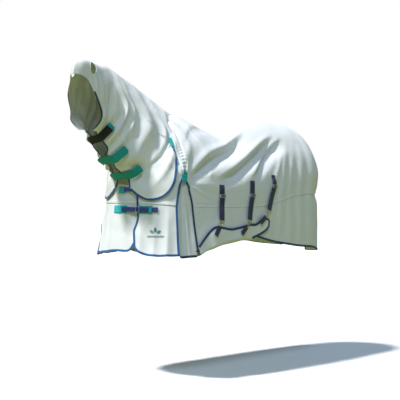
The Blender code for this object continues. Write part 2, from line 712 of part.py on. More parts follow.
def make_wrap(cloth, tape):
    across = [0.0, 0.1, 0.2, 0.3] + steps(0.3, 0.65, 5)[1:] + steps(0.65, 1.0, 5)[1:]
    rows = [[wrap(u, w) for u in steps(0, 1, 12)] for w in across]
    sheet("belly_wrap", cloth, [(rows, FAR)])
    edge = [(0.020, w) for w in (0.26, 0.12)] + [(u, 0.035) for u in steps(0.03, 0.965, 13)]
    edge += [(0.98, w) for w in (0.12, 0.26)]
    tape_along("wrap_binding", tape, wrap, edge, OVER_CLOTH + 0.001, TAPE - 0.004, 0.002)


# ---- straps -------------------------------------------------------------------------------

BELLY_WEBBING = 0.046
BELLY_STRAPS = (  # station and height of: top, slider, lower end, hook, and the loose end's tip
    ("a", (1.218, 1.262), (1.213, 1.189), (1.184, 1.030), (1.170, 1.004), (1.122, 0.934)),
    ("b", (1.454, 1.287), (1.446, 1.189), (1.401, 1.026), (1.388, 0.992), (1.326, 0.936)),
    ("c", (1.647, 1.323), (1.641, 1.246), (1.580, 1.087), (1.560, 1.054), (1.491, 1.003)),
)
STRAP_LIFT = 0.0080
SLIDER_SIZE = (0.026, 0.056)     # along the strap, across it
HOOK_SIZE = (0.034, 0.030)
BUCKLE_SIZE = (0.046, 0.030)


def flank_strip(name, material, a, b, count, lift_a, lift_b, width):
    places = [(NEAR, mix(a[0], b[0], u), mix(a[1], b[1], u)) for u in steps(0, 1, count)]
    tape_along(name, material, body_at, places, steps(lift_a, lift_b, count), width)


def make_belly_strap(letter, top, slide, low, hook, tip, webbing, steel, brass):
    name = "belly_strap_" + letter
    join = (mix(slide[0], low[0], 0.04), mix(slide[1], low[1], 0.04))
    end = (slide[0], slide[1] + 0.004)
    flank_strip(name + "_upper", webbing, top, end, 3, STRAP_LIFT, STRAP_LIFT, BELLY_WEBBING)
    flank_strip(name + "_lower", webbing, join, low, 5, STRAP_LIFT, 0.0185, BELLY_WEBBING)
    at = body_at(NEAR, *slide, STRAP_LIFT + 0.008)
    out = body_at(NEAR, *slide, 0.02) - body_at(NEAR, *slide)
    up = Vector((0, 0, 1))
    frame_bar(name + "_slider", steel, at, up, out, SLIDER_SIZE, 0.005, 0.003, middle_bar=True)
    at = body_at(NEAR, *hook, 0.0185)
    out = body_at(NEAR, *hook, 0.03) - body_at(NEAR, *hook)
    frame_bar(name + "_hook", brass, at, up, out, HOOK_SIZE, 0.005, 0.004)
    start = (mix(hook[0], tip[0], 0.30), mix(hook[1], tip[1], 0.30))
    flank_strip(name + "_tail", webbing, start, tip, 3, 0.0185, 0.0215, BELLY_WEBBING * 0.75)


CHEST_HEIGHT = 1.108
PATCH_HEIGHT = 0.050
CHEST_WEBBING = 0.030


def chest_point(place, z, lift):
    """place is a station on the near side, or minus a station on the far side."""
    if place >= 0:
        return body_at(NEAR, place, z, lift)
    return body_at(FAR, -place, z, lift)


def chest_strip(name, material, start, end, z, lift, width, thickness=0.0022, count=5):
    places = [(p, z) for p in steps(start, end, count)]
    tape_along(name, material, chest_point, places, lift, width, thickness)


def make_chest_straps(teal, turquoise, webbing, steel):
    chest_strip("chest_patch_far", turquoise, -0.115, 0.080, CHEST_HEIGHT, 0.0045, PATCH_HEIGHT)
    chest_strip("chest_patch_near", teal, 0.268, 0.425, CHEST_HEIGHT, 0.0048, PATCH_HEIGHT)
    chest_strip("chest_webbing", webbing, 0.0, 0.500, CHEST_HEIGHT, 0.0090, CHEST_WEBBING, count=8)
    at = chest_point(0.235, CHEST_HEIGHT, 0.0135)
    out = chest_point(0.235, CHEST_HEIGHT, 0.03) - chest_point(0.235, CHEST_HEIGHT, 0.0)
    frame_bar("chest_buckle", steel, at, Vector((0, 0, 1)), out, BUCKLE_SIZE, 0.005, 0.004)
    chest_strip("chest_keeper", teal, 0.385, 0.420, CHEST_HEIGHT, 0.0135, PATCH_HEIGHT - 0.012, count=2)
    chest_strip("upper_chest_patch", turquoise, -0.06, 0.055, 1.232, 0.0045, 0.042)
    chest_strip("upper_chest_webbing", webbing, 0.07, 0.225, 1.236, 0.0045, 0.026, count=4)


NECK_STRAPS = (  # material, width, lift, far end, and the near end, as places on the neck cover
    ("neck_strap_1", "black", 0.042, 0.0165, (0.105, 0.93), (0.090, 0.985), (0.055, 0.90), (0.075, 0.68)),
    ("neck_strap_2", "teal", 0.046, 0.0165, (0.36, 0.93), (0.345, 0.985), (0.27, 0.90), (0.262, 0.700)),
    ("neck_strap_3", "teal", 0.046, 0.0262, (0.60, 0.94), (0.58, 0.985), (0.475, 0.91), (0.405, 0.745)),
)


def make_neck_straps(materials):
    for name, colour, width, lift, far, front, middle, end in NECK_STRAPS:
        points, outs = [], []
        for side, a, b, count in ((FAR, far, front, 2), (NEAR, front, middle, 2), (NEAR, middle, end, 8)):
            for u in steps(0, 1, count):
                if points and u == 0 and side == NEAR and a is middle:
                    continue
                s, t = mix(a[0], b[0], u), mix(a[1], b[1], u)
                points.append(neck(side, s, t, lift))
                outs.append(neck(side, s, t, 0.03) - neck(side, s, t))
        share = 0.80 if name == "neck_strap_1" else 1.0
        cut = int(len(points) * share)
        ribbon(name, materials[colour], points[:cut], outs[:cut], width, 0.0025)
        if share < 1:
            tail = [points[cut - 1].lerp(points[cut], 0.15)] + points[cut:]
            ribbon(name + "_end", materials["teal"], tail, outs[cut - 1:], width, 0.0025)


def make_tabs(side, teal):
    name = side_name(side)
    places = [(side, mix(0.905, 0.884, u), mix(1.356, 1.292, u)) for u in steps(0, 1, 3)]
    tape_along("gusset_tab_" + name, teal, body_at, places, 0.0075, 0.040, 0.002)
    places = [(side, 0.800, 1.550), (side, 0.795, 1.530), (side, 0.795, 1.506)]
    tape_along("neck_tab_" + name, teal, body_at, places, 0.026, 0.024, 0.002)


# ---- scene --------------------------------------------------------------------------------

def main():
    for obj in list(bpy.data.objects):
        bpy.data.objects.remove(obj)
    origin = bpy.data.objects.new("rug_origin", None)
    origin.location = (-BACK_X, 0, -BACK_HEIGHT)
    bpy.context.collection.objects.link(origin)
    cloth = make_material("white_mesh_cloth", (0.86, 0.88, 0.90), 0.85)
    tape = make_material("navy_binding", (0.03, 0.05, 0.22), 0.7)
    webbing = make_material("navy_webbing", (0.02, 0.03, 0.09), 0.75)
    black = make_material("black_hook_and_loop", (0.02, 0.02, 0.025), 0.9)
    teal = make_material("teal_cloth", (0.0, 0.50, 0.46), 0.8)
    turquoise = make_material("turquoise_patch", (0.02, 0.75, 0.78), 0.8)
    steel = make_material("steel", (0.60, 0.60, 0.60), 0.35, 1.0)
    brass = make_material("pale_brass", (0.75, 0.65, 0.42), 0.4, 1.0)
    make_body(cloth)
    for side in (NEAR, FAR):
        make_front_panel(side, cloth)
        make_side_panel(side, cloth)
        make_gusset(side, cloth, tape)
        make_front_binding(side, tape)
        make_side_binding(side, tape)
        make_neck(side, cloth)
        make_neck_bindings(side, tape)
        make_tabs(side, teal)
    make_tail_flap(cloth)
    make_hood(cloth, tape)
    make_wrap(cloth, tape)
    for strap in BELLY_STRAPS:
        make_belly_strap(*strap, webbing, steel, brass)
    make_chest_straps(teal, turquoise, webbing, steel)
    make_neck_straps({"black": black, "teal": teal})


main()
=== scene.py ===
# %% [markdown]
# # A sweet itch rug for a horse
# This lesson dresses a ready frame of simple solids as a fly rug: a white body of fine mesh cloth,
# a neck cover with a hood, a belly wrap, blue bindings, teal tabs and navy webbing.  The horse is
# left out, so the rug keeps the shape in which it hangs when it is worn.
#
# The frame comes first.

# %% Load the frame
import math

import bmesh
import bpy
from mathutils import Matrix, Vector, noise
from mathutils.bvhtree import BVHTree


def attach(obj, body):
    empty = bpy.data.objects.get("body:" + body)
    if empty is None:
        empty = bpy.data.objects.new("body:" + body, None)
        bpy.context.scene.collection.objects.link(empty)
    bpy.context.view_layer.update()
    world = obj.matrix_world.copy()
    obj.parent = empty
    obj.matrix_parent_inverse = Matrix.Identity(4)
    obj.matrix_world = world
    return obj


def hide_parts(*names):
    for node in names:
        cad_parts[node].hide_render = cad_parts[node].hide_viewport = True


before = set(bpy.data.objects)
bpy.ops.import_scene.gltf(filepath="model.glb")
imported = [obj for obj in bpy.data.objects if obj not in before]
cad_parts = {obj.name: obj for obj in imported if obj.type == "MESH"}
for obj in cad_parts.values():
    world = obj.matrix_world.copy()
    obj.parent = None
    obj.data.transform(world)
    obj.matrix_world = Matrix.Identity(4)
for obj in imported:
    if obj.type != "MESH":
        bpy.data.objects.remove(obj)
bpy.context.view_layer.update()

# %% [markdown]
# ## Where the viewer stands
# Lengths are metres.  The rug's origin is under the cloth, on the horse's back, so the floor lies
# 1.655 m below it.  The shapes are laid out in stand coordinates, which start on the floor under
# the forelegs: x runs towards the tail, -y is the horse's left, called the near side, and z is the
# height.  The camera stands in front and to the near side, at about the height of a person's eyes.

# %% Camera
BACK_X = 0.45
BACK_HEIGHT = 1.655
ORIGIN = Vector((BACK_X, 0, BACK_HEIGHT))
LENS = 116.1                                   # mm, a long lens for a distant viewer
EYE = Vector((-6.08, -6.08, 1.40))
ahead = Vector((math.cos(math.radians(45)), math.sin(math.radians(45)), 0))
rightwards = Vector((ahead.y, -ahead.x, 0))
TURN_RIGHT, TURN_DOWN = 0.02713, 0.02791       # how far the view is turned off straight ahead

camera_data = bpy.data.cameras.new("camera")
camera_data.sensor_width = 36
camera_data.lens = LENS
camera = bpy.data.objects.new("camera", camera_data)
bpy.context.collection.objects.link(camera)
camera.location = EYE - ORIGIN
aim = ahead + rightwards * TURN_RIGHT - Vector((0, 0, TURN_DOWN))
camera.rotation_euler = aim.to_track_quat("-Z", "Y").to_euler()
bpy.context.scene.camera = camera
print("camera at", [round(c, 2) for c in camera.location])

# %% [markdown]
# ## Floor and light
# A plain pale floor, a soft sun from the front and above, and a pale sky that fills the shadows.
# The folds of white cloth show only by shading, so the sun comes from ahead of the horse and
# grazes the flank.

# %% Floor and lights
def feed(tree, node, given):
    """Gives a node its inputs: each is a number, a colour or an output to link from."""
    for name, value in given.items():
        if isinstance(value, bpy.types.NodeSocket):
            tree.links.new(value, node.inputs[name])
        else:
            node.inputs[name].default_value = value


def add_node(tree, kind, given=None, **settings):
    """A new node with its settings and inputs."""
    node = tree.nodes.new(kind)
    for name, value in settings.items():
        setattr(node, name, value)
    feed(tree, node, given or {})
    return node


def floor_material():
    """Pale to the camera; what it throws back at the cloth is weak and a little green, as from turf."""
    material = bpy.data.materials.new("pale_floor")
    material.use_nodes = True
    tree = material.node_tree
    seen = add_node(tree, "ShaderNodeLightPath")
    choose = add_node(tree, "ShaderNodeMix", data_type="RGBA")
    feed(tree, choose, {"Factor": seen.outputs["Is Camera Ray"], "A": (0.235, 0.255, 0.062, 1),
                        "B": (0.95, 0.95, 0.95, 1)})
    feed(tree, tree.nodes["Principled BSDF"], {"Roughness": 0.9, "Base Color": choose.outputs["Result"]})
    return material


floor_mesh = bpy.data.meshes.new("floor")
FLOOR_HALF = 30.0
corners = [(x * FLOOR_HALF, y * FLOOR_HALF, -BACK_HEIGHT) for x, y in ((-1, -1), (1, -1), (1, 1), (-1, 1))]
floor_mesh.from_pydata(corners, [], [(0, 1, 2, 3)])
floor_mesh.materials.append(floor_material())
floor = bpy.data.objects.new("floor", floor_mesh)
bpy.context.collection.objects.link(floor)


def sun(name, direction, strength, softness, colour=(1, 1, 1)):
    """A sun whose light travels along direction."""
    data = bpy.data.lights.new(name, "SUN")
    data.energy = strength
    data.angle = math.radians(softness)
    data.color = colour
    lamp = bpy.data.objects.new(name, data)
    lamp.rotation_euler = Vector(direction).to_track_quat("-Z", "Y").to_euler()
    bpy.context.collection.objects.link(lamp)
    return lamp


sun("key_sun", (0.48, -0.12, -0.87), 4.0, 5, (1.0, 0.99, 0.98))
sun("sky_side", (0.46, 0.44, -0.77), 0.84, 16, (0.66, 0.83, 1.0))

world = bpy.data.worlds.new("studio")
world.use_nodes = True
sky = world.node_tree
backdrop = sky.nodes["Background"]
feed(sky, backdrop, {"Color": (1, 1, 1, 1)})
dome = add_node(sky, "ShaderNodeBackground", {"Color": (0.58, 0.76, 1.0, 1), "Strength": 0.25})
seen = add_node(sky, "ShaderNodeLightPath")
either = add_node(sky, "ShaderNodeMixShader", {"Fac": seen.outputs["Is Camera Ray"]})
sky.links.new(dome.outputs["Background"], either.inputs[1])
sky.links.new(backdrop.outputs["Background"], either.inputs[2])
feed(sky, sky.nodes["World Output"], {"Surface": either.outputs["Shader"]})
bpy.context.scene.world = world
bpy.context.scene.view_settings.view_transform = "Standard"
print("two suns and a pale sky")

# %% [markdown]
# ## Smooth lines through a few points
# A pattern cutter draws a hem by marking a few heights and joining them with a smooth curve.
# `Smooth` does the same: it passes through its points and never shows a corner.

# %% Smooth lines
class Smooth:
    """A smooth curve through (x, height) points; call it with x."""

    def __init__(self, *points):
        self.x = [p[0] for p in points]
        self.y = [p[1] for p in points]
        last = len(points) - 1
        self.slope = []
        for k in range(last + 1):
            a, b = max(k - 1, 0), min(k + 1, last)
            self.slope.append((self.y[b] - self.y[a]) / (self.x[b] - self.x[a]))

    def __call__(self, x):
        xs, ys = self.x, self.y
        if x <= xs[0]:
            return ys[0]
        if x >= xs[-1]:
            return ys[-1]
        i = 0
        while xs[i + 1] <= x:
            i += 1
        width = xs[i + 1] - xs[i]
        u = (x - xs[i]) / width
        a, b = self.slope[i] * width, self.slope[i + 1] * width
        return ((2 * u ** 3 - 3 * u ** 2 + 1) * ys[i] + (u ** 3 - 2 * u ** 2 + u) * a
                + (3 * u ** 2 - 2 * u ** 3) * ys[i + 1] + (u ** 3 - u ** 2) * b)


def mix(a, b, u):
    return a + (b - a) * u


def ease(a, b, x):
    """0 before a, 1 after b, and smooth between."""
    u = min(max((x - a) / (b - a), 0.0), 1.0)
    return u * u * (3 - 2 * u)


def steps(a, b, count):
    return [mix(a, b, i / count) for i in range(count + 1)]


def power(value, exponent):
    return math.copysign(abs(value) ** exponent, value)


print("half way up a smooth step:", ease(0, 1, 0.5))

# %% [markdown]
# ## The shape of the body
# Two outlines seen from above, one at the widest level and one at the hem, and one line along the
# spine give the whole body.  A station q runs round one side: 0 at the middle of the chest, 1 to 2
# along the flank, 3 at the tail.  A level v runs down it: 0 on the spine, 1 at the widest height,
# 2 at the hem.  Every panel, tape and strap is placed by q and v, so they all lie on one surface.

# %% Body outline
NEAR, FAR = -1, 1
FRONT_WIDE = (-0.10, 0.285, 0.335, 2.0)        # centre x, length, half width, squareness
FRONT_HEM = (-0.08, 0.345, 0.385, 2.6)
REAR_WIDE = (1.13, 0.255, 0.325, 2.2)
REAR_HEM = (1.13, 0.235, 0.330, 2.4)
WITHERS = 1.12                                 # where the neck seam meets the spine
TAB, TAB_HEIGHT = 0.79, 1.53                   # its lower end, at the neck tab
GUSSET, GUSSET_TOP = 0.88, 1.317               # the gusset's point
GUSSET_FRONT, GUSSET_REAR = 0.105, 0.095       # how far it opens each way
OPENING = 0.21                                 # the near side's front edge
REAR_EDGE, FLAP_TOP = 2.80, 1.44               # the sides' rear edges, under the tail flap
TAPE, TAPE_THICK = 0.018, 0.003
TAPE_Q = 0.040

spine = Smooth((-0.25, 1.66), (-0.10, 1.715), (0.05, 1.725), (0.18, 1.675), (0.32, 1.635), (0.55, 1.675),
               (0.70, 1.700), (0.88, 1.714), (1.03, 1.708), (1.14, 1.685), (1.22, 1.655))
barrel = Smooth((-0.10, 0.0), (0.20, 0.030), (0.50, 0.045), (0.80, 0.025), (1.13, 0.0))
widest = Smooth((0.0, 1.20), (1.0, 1.23), (1.6, 1.22), (2.1, 1.29), (3.0, 1.30))
hem_line = Smooth((0.0, 0.835), (0.30, 0.815), (0.78, 0.812), (0.975, 0.825), (1.06, 0.860), (1.15, 0.905),
                  (1.30, 0.930), (1.43, 0.924), (1.51, 0.894), (1.62, 0.864), (1.74, 0.841), (1.89, 0.817),
                  (2.10, 0.797), (2.40, 0.776), (2.80, 0.765), (3.0, 0.765))
seam_line = Smooth((0.0, 1.155), (0.5, 1.150), (0.9, 1.135), (1.40, 1.120), (1.60, 1.128), (1.85, 1.185),
                   (2.2, 1.200), (3.0, 1.180))
chest_top = Smooth((-0.4, 1.262), (0.0, 1.268), (0.3, 1.300), (0.6, 1.395), (TAB, TAB_HEIGHT))


def plan(q, low):
    """Outline from above at station q: low is 0 at the widest level and 1 at the hem."""
    front = [mix(a, b, low) for a, b in zip(FRONT_WIDE, FRONT_HEM)]
    rear = [mix(a, b, low) for a, b in zip(REAR_WIDE, REAR_HEM)]
    if q <= 1:
        turn = math.radians(90 * q)
        x = front[0] - front[1] * power(math.cos(turn), 2 / front[3])
        return x, front[2] * power(math.sin(turn), 2 / front[3])
    if q <= 2:
        x = mix(front[0], rear[0], q - 1)
        return x, mix(front[2], rear[2], q - 1) + barrel(x) * (1 - 0.55 * low)
    turn = math.radians(90 * (3 - q))
    x = rear[0] + rear[1] * power(math.cos(turn), 2 / rear[3])
    return x, rear[2] * power(math.sin(turn), 2 / rear[3])


def ridge(q):
    """The point of the spine that station q runs up to."""
    x, _ = plan(q, 0)
    if q < 1:
        x = mix(FRONT_WIDE[0], x, 0.30)
        return x, spine(x) - 0.22 * (1 - q) ** 1.4
    if q > 2:
        x = mix(REAR_WIDE[0], x, 0.32)
    return x, spine(x)


def hem(q):
    return hem_line(abs(q))


def rear_rise(side, q):
    """The far side's rear hem hangs a little higher."""
    return 0.030 * ease(1.7, 2.2, q) if side == FAR else 0.0


def level(q, z):
    """The level v at which station q has the height z."""
    wide = widest(abs(q))
    if z <= wide:
        return 1 + (wide - z) / (wide - hem(q))
    part = min((z - wide) / (ridge(q)[1] - wide), 1.0)
    return math.degrees(math.acos(part ** (1 / 1.05))) / 90


def body_base(side, q, v):
    top_x, top_z = ridge(q)
    wide = widest(abs(q))
    if v <= 1:
        turn = math.radians(90 * v)
        reach = math.sin(turn) ** (2 / mix(1.75, 2.15, ease(0.9, 1.6, q)))
        x, y = plan(q, 0)
        z = wide + (top_z - wide) * math.cos(turn) ** 1.05
        return Vector((mix(top_x, x, reach), side * y * reach, z))
    x0, y0 = plan(q, 0)
    x1, y1 = plan(q, 1)
    low = (v - 1) ** 1.25
    return Vector((mix(x0, x1, low), side * mix(y0, y1, low), mix(wide, hem(q), v - 1)))


print("hem at mid flank", round(hem(1.5), 3), "m above the floor")

# %% [markdown]
# ## Long slack rolls
# Loose cloth falls from the places that hold it up.  From the withers and the croup it drops in
# long slack rolls, steep on the upper side and gentle on the lower one.  Each kind of fold in this
# lesson is one rule that says how far the cloth stands off its even shape, because a rule puts each
# fold where the real rug has it, which a simulation seldom does.  The rules are written on the
# flattened flank, where both directions are metres.

# %% Rolls of the flank
HALF_GIRTH, FLANK_LENGTH = 0.645, 1.23
SKIRT_DEPTH = 0.40


def flattened(q, v):
    """Metres along the flank from station 1, and metres up from the widest level."""
    if q < 1:
        along = (q - 1) * 0.50
    elif q < 2:
        along = (q - 1) * FLANK_LENGTH
    else:
        along = FLANK_LENGTH + (q - 2) * 0.42
    return along, (1 - v) * (HALF_GIRTH if v < 1 else SKIRT_DEPTH)


# each roll: lower end, upper end, width below and above, depth
ROLLS = (((0.00, 0.085), (0.635, 0.435), 0.055, 0.105, 0.036),
         ((0.27, 0.090), (0.91, 0.360), 0.065, 0.105, 0.036),
         ((0.58, 0.110), (0.985, 0.330), 0.055, 0.080, 0.026),
         ((0.02, 0.290), (0.33, 0.520), 0.060, 0.070, 0.008))


def roll_depth(x, w):
    total = 0.0
    for (x0, w0), (x1, w1), narrow, wide, depth in ROLLS:
        length = math.hypot(x1 - x0, w1 - w0)
        ex, ew = (x1 - x0) / length, (w1 - w0) / length
        along = ((x - x0) * ex + (w - w0) * ew) / length
        if not -0.25 < along < 1.2:
            continue
        bow = 0.018 * math.sin(math.pi * min(max(along, 0), 1))
        across = (x - x0) * ew - (w - w0) * ex + bow
        width = mix(narrow, wide, min(max(along, 0), 1))
        here = ease(-0.10, 0.22, along) * (1 - ease(0.70, 1.10, along))
        u = across / width
        total -= depth * here * ease(-0.05, 0.32, u) * (1 - ease(0.42, 1.45, u))
        total += 0.32 * depth * here * math.exp(-((across + 0.012) / 0.024) ** 2)
    return total


deepest = min(roll_depth(x, w) for x in steps(0, 1, 40) for w in steps(0, 0.5, 20))
print("deepest roll", round(deepest * 1000, 1), "mm")

# %% [markdown]
# ## Creases and pipes
# The cloth is drawn together at the gusset's tab, so creases run out from there like rays.  Behind
# them it hangs from the croup in long pipes, steep in front and gentle behind.

# %% Rays and pipes
TAB_POINT = (-0.055, 0.060)
# each ray from the tab: direction in degrees, spread in degrees, height, reach
RAYS = ((-29, 3.2, 0.010, 0.34), (-9, 6, 0.006, 0.42), (-50, 6, 0.007, 0.30), (-68, 5, 0.005, 0.30),
        (12, 5, 0.006, 0.30), (62, 5, 0.008, 0.42), (78, 4, 0.006, 0.46), (95, 4, 0.008, 0.50),
        (110, 5, 0.008, 0.46), (128, 6, 0.006, 0.32))


def ray_height(x, w):
    """Creases that run out from the gusset's tab."""
    dx, dw = x - TAB_POINT[0], w - TAB_POINT[1]
    distance = math.hypot(dx, dw)
    angle = math.degrees(math.atan2(dw, dx))
    total = 0.0
    for direction, spread, height, reach in RAYS:
        off = (angle - direction + 180) % 360 - 180
        spread = spread * (1 + 0.02 / (distance + 0.02))
        total += height * math.exp(-(off / spread) ** 2) * (1 - ease(0.35 * reach, reach, distance))
    return total * ease(0.010, 0.07, distance)


# each long pipe down the rump: places from top to bottom, width ahead of it, width behind it, height
PIPES = ((((0.985, 0.300), (0.930, 0.215), (0.860, 0.130), (0.780, 0.030)), 0.016, 0.045, 0.012),
         (((1.030, 0.300), (0.965, 0.200), (0.899, 0.060), (0.862, -0.120), (0.850, -0.30)), 0.018, 0.055, 0.012),
         (((1.100, 0.285), (1.050, 0.190), (1.000, 0.080), (0.975, -0.060), (0.960, -0.36)), 0.022, 0.050, 0.011),
         (((1.170, 0.290), (1.150, 0.180), (1.120, 0.060), (1.100, -0.080), (1.090, -0.38)), 0.030, 0.060, 0.013),
         (((1.250, 0.280), (1.250, 0.160), (1.235, 0.040), (1.220, -0.10), (1.215, -0.38)), 0.030, 0.050, 0.009))
PIPE_LINES = [(Smooth(*[(-w, x) for x, w in places]), -places[0][1], -places[-1][1], *shape)
              for places, *shape in PIPES]


def pipe_height(x, w):
    """Long pipes that hang from the croup: steep in front, gentle behind."""
    total = 0.0
    for line, top, bottom, ahead_width, behind_width, height in PIPE_LINES:
        if not top - 0.05 < -w < bottom + 0.12:
            continue
        off = x - line(-w)
        across = off / (ahead_width if off < 0 else behind_width)
        fade = ease(top - 0.02, top + 0.17, -w) * (1 - ease(bottom - 0.10, bottom + 0.10, -w))
        total += 0.85 * height * math.exp(-across * across) * fade
    return total


print(len(RAYS), "creases and", len(PIPES), "pipes")

# %% [markdown]
# ## The puckered seam
# A short seam from the withers to the gusset's tab is sewn tight.  It sinks into a groove and the
# cloth beside it puckers in small waves.

# %% Puckered seam
DART = ((1.00, 0.40), (0.915, 0.84))           # stations and levels of its two ends


def dart_height(q, v):
    """The puckers along the seam from the withers to the gusset's tab."""
    x0, w0 = flattened(*DART[1])
    x1, w1 = flattened(*DART[0])
    x, w = flattened(q, v)
    length = math.hypot(x1 - x0, w1 - w0)
    ex, ew = (x1 - x0) / length, (w1 - w0) / length
    along = (x - x0) * ex + (w - w0) * ew
    across = (x - x0) * ew - (w - w0) * ex
    if not -0.05 < along < length + 0.08 or abs(across) > 0.09:
        return 0.0
    here = ease(-0.04, 0.03, along) * (1 - ease(length - 0.06, length + 0.06, along))
    groove = -0.007 * math.exp(-(across / 0.008) ** 2) + 0.003 * math.exp(-((abs(across) - 0.02) / 0.012) ** 2)
    pucker = 0.0034 * math.sin(2 * math.pi * (along / 0.021 + 9 * abs(across))) * math.exp(-(across / 0.026) ** 2)
    return (groove + pucker) * here


print("the seam's groove is", round(-dart_height(0.96, 0.61) * 1000, 1), "mm deep half way down")

# %% [markdown]
# ## Folds of the neck
# The neck cover is cut loose and is pushed together, so long folds leave the crest backwards, drop,
# and swing forward to the straps.  Their ridges are pinched and their hollows round.  The same
# rule is used on the body just behind the neck, so the folds run on across the seam.

# %% Folds of the neck
FOLD_SPACING = 0.088
fold_swing = Smooth((0.0, 0.0), (0.06, 0.040), (0.13, 0.066), (0.24, 0.100), (0.34, 0.082),
                    (0.46, 0.000), (0.60, -0.110), (0.80, -0.22))


def pinched(phase, softness=0.10):
    """A row of narrow ridges with round hollows between, from 0 to 1, one ridge per unit."""
    wave = abs(math.sin(math.pi * phase))
    return 1 - math.sqrt(wave * wave + softness * softness) / math.sqrt(1 + softness * softness)


def crest_height(x):
    """Height of the crest above x, carried on along the withers."""
    return mix(2.030, 1.728, (x + 0.570) / 0.615)


def draped(p, side):
    """The neck's long folds at a point: they leave the crest backwards, drop, and swing forward low down."""
    drop = max(crest_height(p.x) - p.z, 0.0)
    x0 = p.x - fold_swing(drop)
    drop = max(crest_height(x0) - p.z, 0.0)
    x0 = p.x - fold_swing(drop)
    phase = x0 / FOLD_SPACING + 0.30 * math.sin(1.9 * x0 / FOLD_SPACING + side) + 0.5 * side
    number = math.floor(phase + 0.5)
    size = 0.70 + 0.30 * math.sin(2.4 * number + side + 5 * drop)
    return (0.034 * size * pinched(phase, 0.20) - 0.009) * ease(0.005, 0.10, drop)


print("neck folds are", FOLD_SPACING * 1000, "mm apart")

# %% [markdown]
# ## All the folds together
# `folds` adds the rules up, with a few small waves for the skirt and the rump and some noise for
# creases from packing.  `body` then lifts a point of the even shape along its own normal.

# %% Folded body
def folds(side, q, v):
    """How far the cloth stands off its even shape at station q and level v."""
    x, w = flattened(q, v)
    if side == FAR:
        x -= 0.045
    low = ease(0.9, 2.0, v)
    out = roll_depth(x, w) * ease(0.12, 0.3, v) + ray_height(x, w) + pipe_height(x, w)
    out += dart_height(q, v)
    if q < 1.15 and v < 1:
        here = body_base(side, q, v)
        out += 0.5 * draped(here, side) * (1 - ease(0.02, 0.24, here.x)) * ease(1.25, 1.42, here.z)
    if q > 1.9:
        out += 0.004 * math.sin(9.5 * (q - 1.7)) * ease(1.9, 2.2, q) * ease(0.5, 1.3, v)
        tuck = math.exp(-((w + 0.095) / 0.030) ** 2)
        swell = 0.010 * math.exp(-((w - 0.07) / 0.10) ** 2)
        out += (swell - 0.016 * tuck) * ease(1.95, 2.25, q) * (1 - ease(2.6, 2.8, q))
    if q < 0.9:
        out += (0.008 * math.sin(11.0 * q + 0.6) + 0.014 * pinched(5.6 * q + 0.35 * v, 0.2) - 0.005) * low
    if 0.97 < q < 1.9:
        out += 0.005 * pinched(4.6 * q + 0.5 * v + side * 0.2) * ease(1.15, 1.9, v)
    out += 0.004 * noise.noise(Vector((x * 6, w * 6, side * 3.0)))
    out += 0.0016 * noise.noise(Vector((x * 21, w * 13, side * 5.0)))
    return out


def body(side, q, v, lift=0.0):
    """A point of the body cloth, lift metres outside it."""
    step = 0.004
    v0, v1 = max(v - step, 0.0005), max(v, 0.0005) + step
    along = body_base(side, q + step, max(v, 0.002)) - body_base(side, q - step, max(v, 0.002))
    down = body_base(side, q, v1) - body_base(side, q, v0)
    out = along.cross(down) * side
    if abs(q - 3) < 1e-6 or v == 0:
        out.y = 0
    out.normalize()
    fade = ease(0.0, 0.08, v) * (1 - ease(2.9, 3.0, q))
    return body_base(side, q, v) + out * (lift + folds(side, q, v) * fade)


def body_at(side, q, z, lift=0.0):
    return body(side, q, level(q, z), lift)


def top_level(q):
    """The upper edge of the body cloth, a little way under the neck cover."""
    q = q + 0.02
    if q >= WITHERS:
        return 0.0
    if q >= TAB:
        return level(TAB, TAB_HEIGHT) * (1 - ((q - TAB) / (WITHERS - TAB)) ** 1.3)
    return level(q, chest_top(q))


def gusset_spread(z):
    return min(max((GUSSET_TOP - z) / 0.19, 0.0), 1.0) ** 0.6


def gusset_front(z, side=NEAR):
    """The gusset's front edge; the far one hangs further forward towards the hem."""
    forward = 0.34 * (1 - ease(0.84, 1.10, z)) if side == FAR else 0.0
    return GUSSET - GUSSET_FRONT * gusset_spread(z) - forward


def gusset_rear(z):
    return GUSSET + GUSSET_REAR * gusset_spread(z)


print("gusset opens from station", round(gusset_front(1.0), 3), "to", round(gusset_rear(1.0), 3))

# %% [markdown]
# ## Sheets of cloth
# `cloth` turns grids of points into one thin closed sheet: the points are the inner face, and a
# Solidify modifier gives the thickness.  Its UV map is measured in metres, so a weave keeps its
# scale on every panel.  Its area is kept, to compare with the size the cloth was cut to.

# %% Cloth
CLOTH = 0.0012
materials = {}
areas = {}


def row_point(p):
    """From stand coordinates to the rug's own frame."""
    return p - ORIGIN


def plain_mesh(obj):
    """Replaces an object's mesh by what its modifiers make of it."""
    graph = bpy.context.evaluated_depsgraph_get()
    mesh = bpy.data.meshes.new_from_object(obj.evaluated_get(graph), preserve_all_data_layers=True, depsgraph=graph)
    obj.modifiers.clear()
    obj.data = mesh
    return obj


def new_piece(name, mesh, finish, slot):
    mesh.name = name
    obj = bpy.data.objects.new(name, mesh)
    bpy.context.collection.objects.link(obj)
    if not mesh.materials:
        mesh.materials.append(materials[finish])
    obj["slot"] = slot
    return obj


def settle(obj, nodes=()):
    """The piece rides on the rug, loses its slot mark and stands for its solids, which are hidden."""
    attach(obj, "root")
    del obj["slot"]
    if nodes:
        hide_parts(*nodes)
    return obj


def mesh_of(bm, name, sharp=None):
    """The smooth mesh of bm, with sharp edges where it bends more than so many degrees."""
    mesh = bpy.data.meshes.new(name)
    bm.to_mesh(mesh)
    bm.free()
    mesh.shade_smooth()
    if sharp:
        mesh.set_sharp_from_angle(angle=math.radians(sharp))
    return mesh


def lengths(points):
    """How far along its line each point lies."""
    total, out = 0.0, [0.0]
    for a, b in zip(points, points[1:]):
        total += (b - a).length
        out.append(total)
    return out


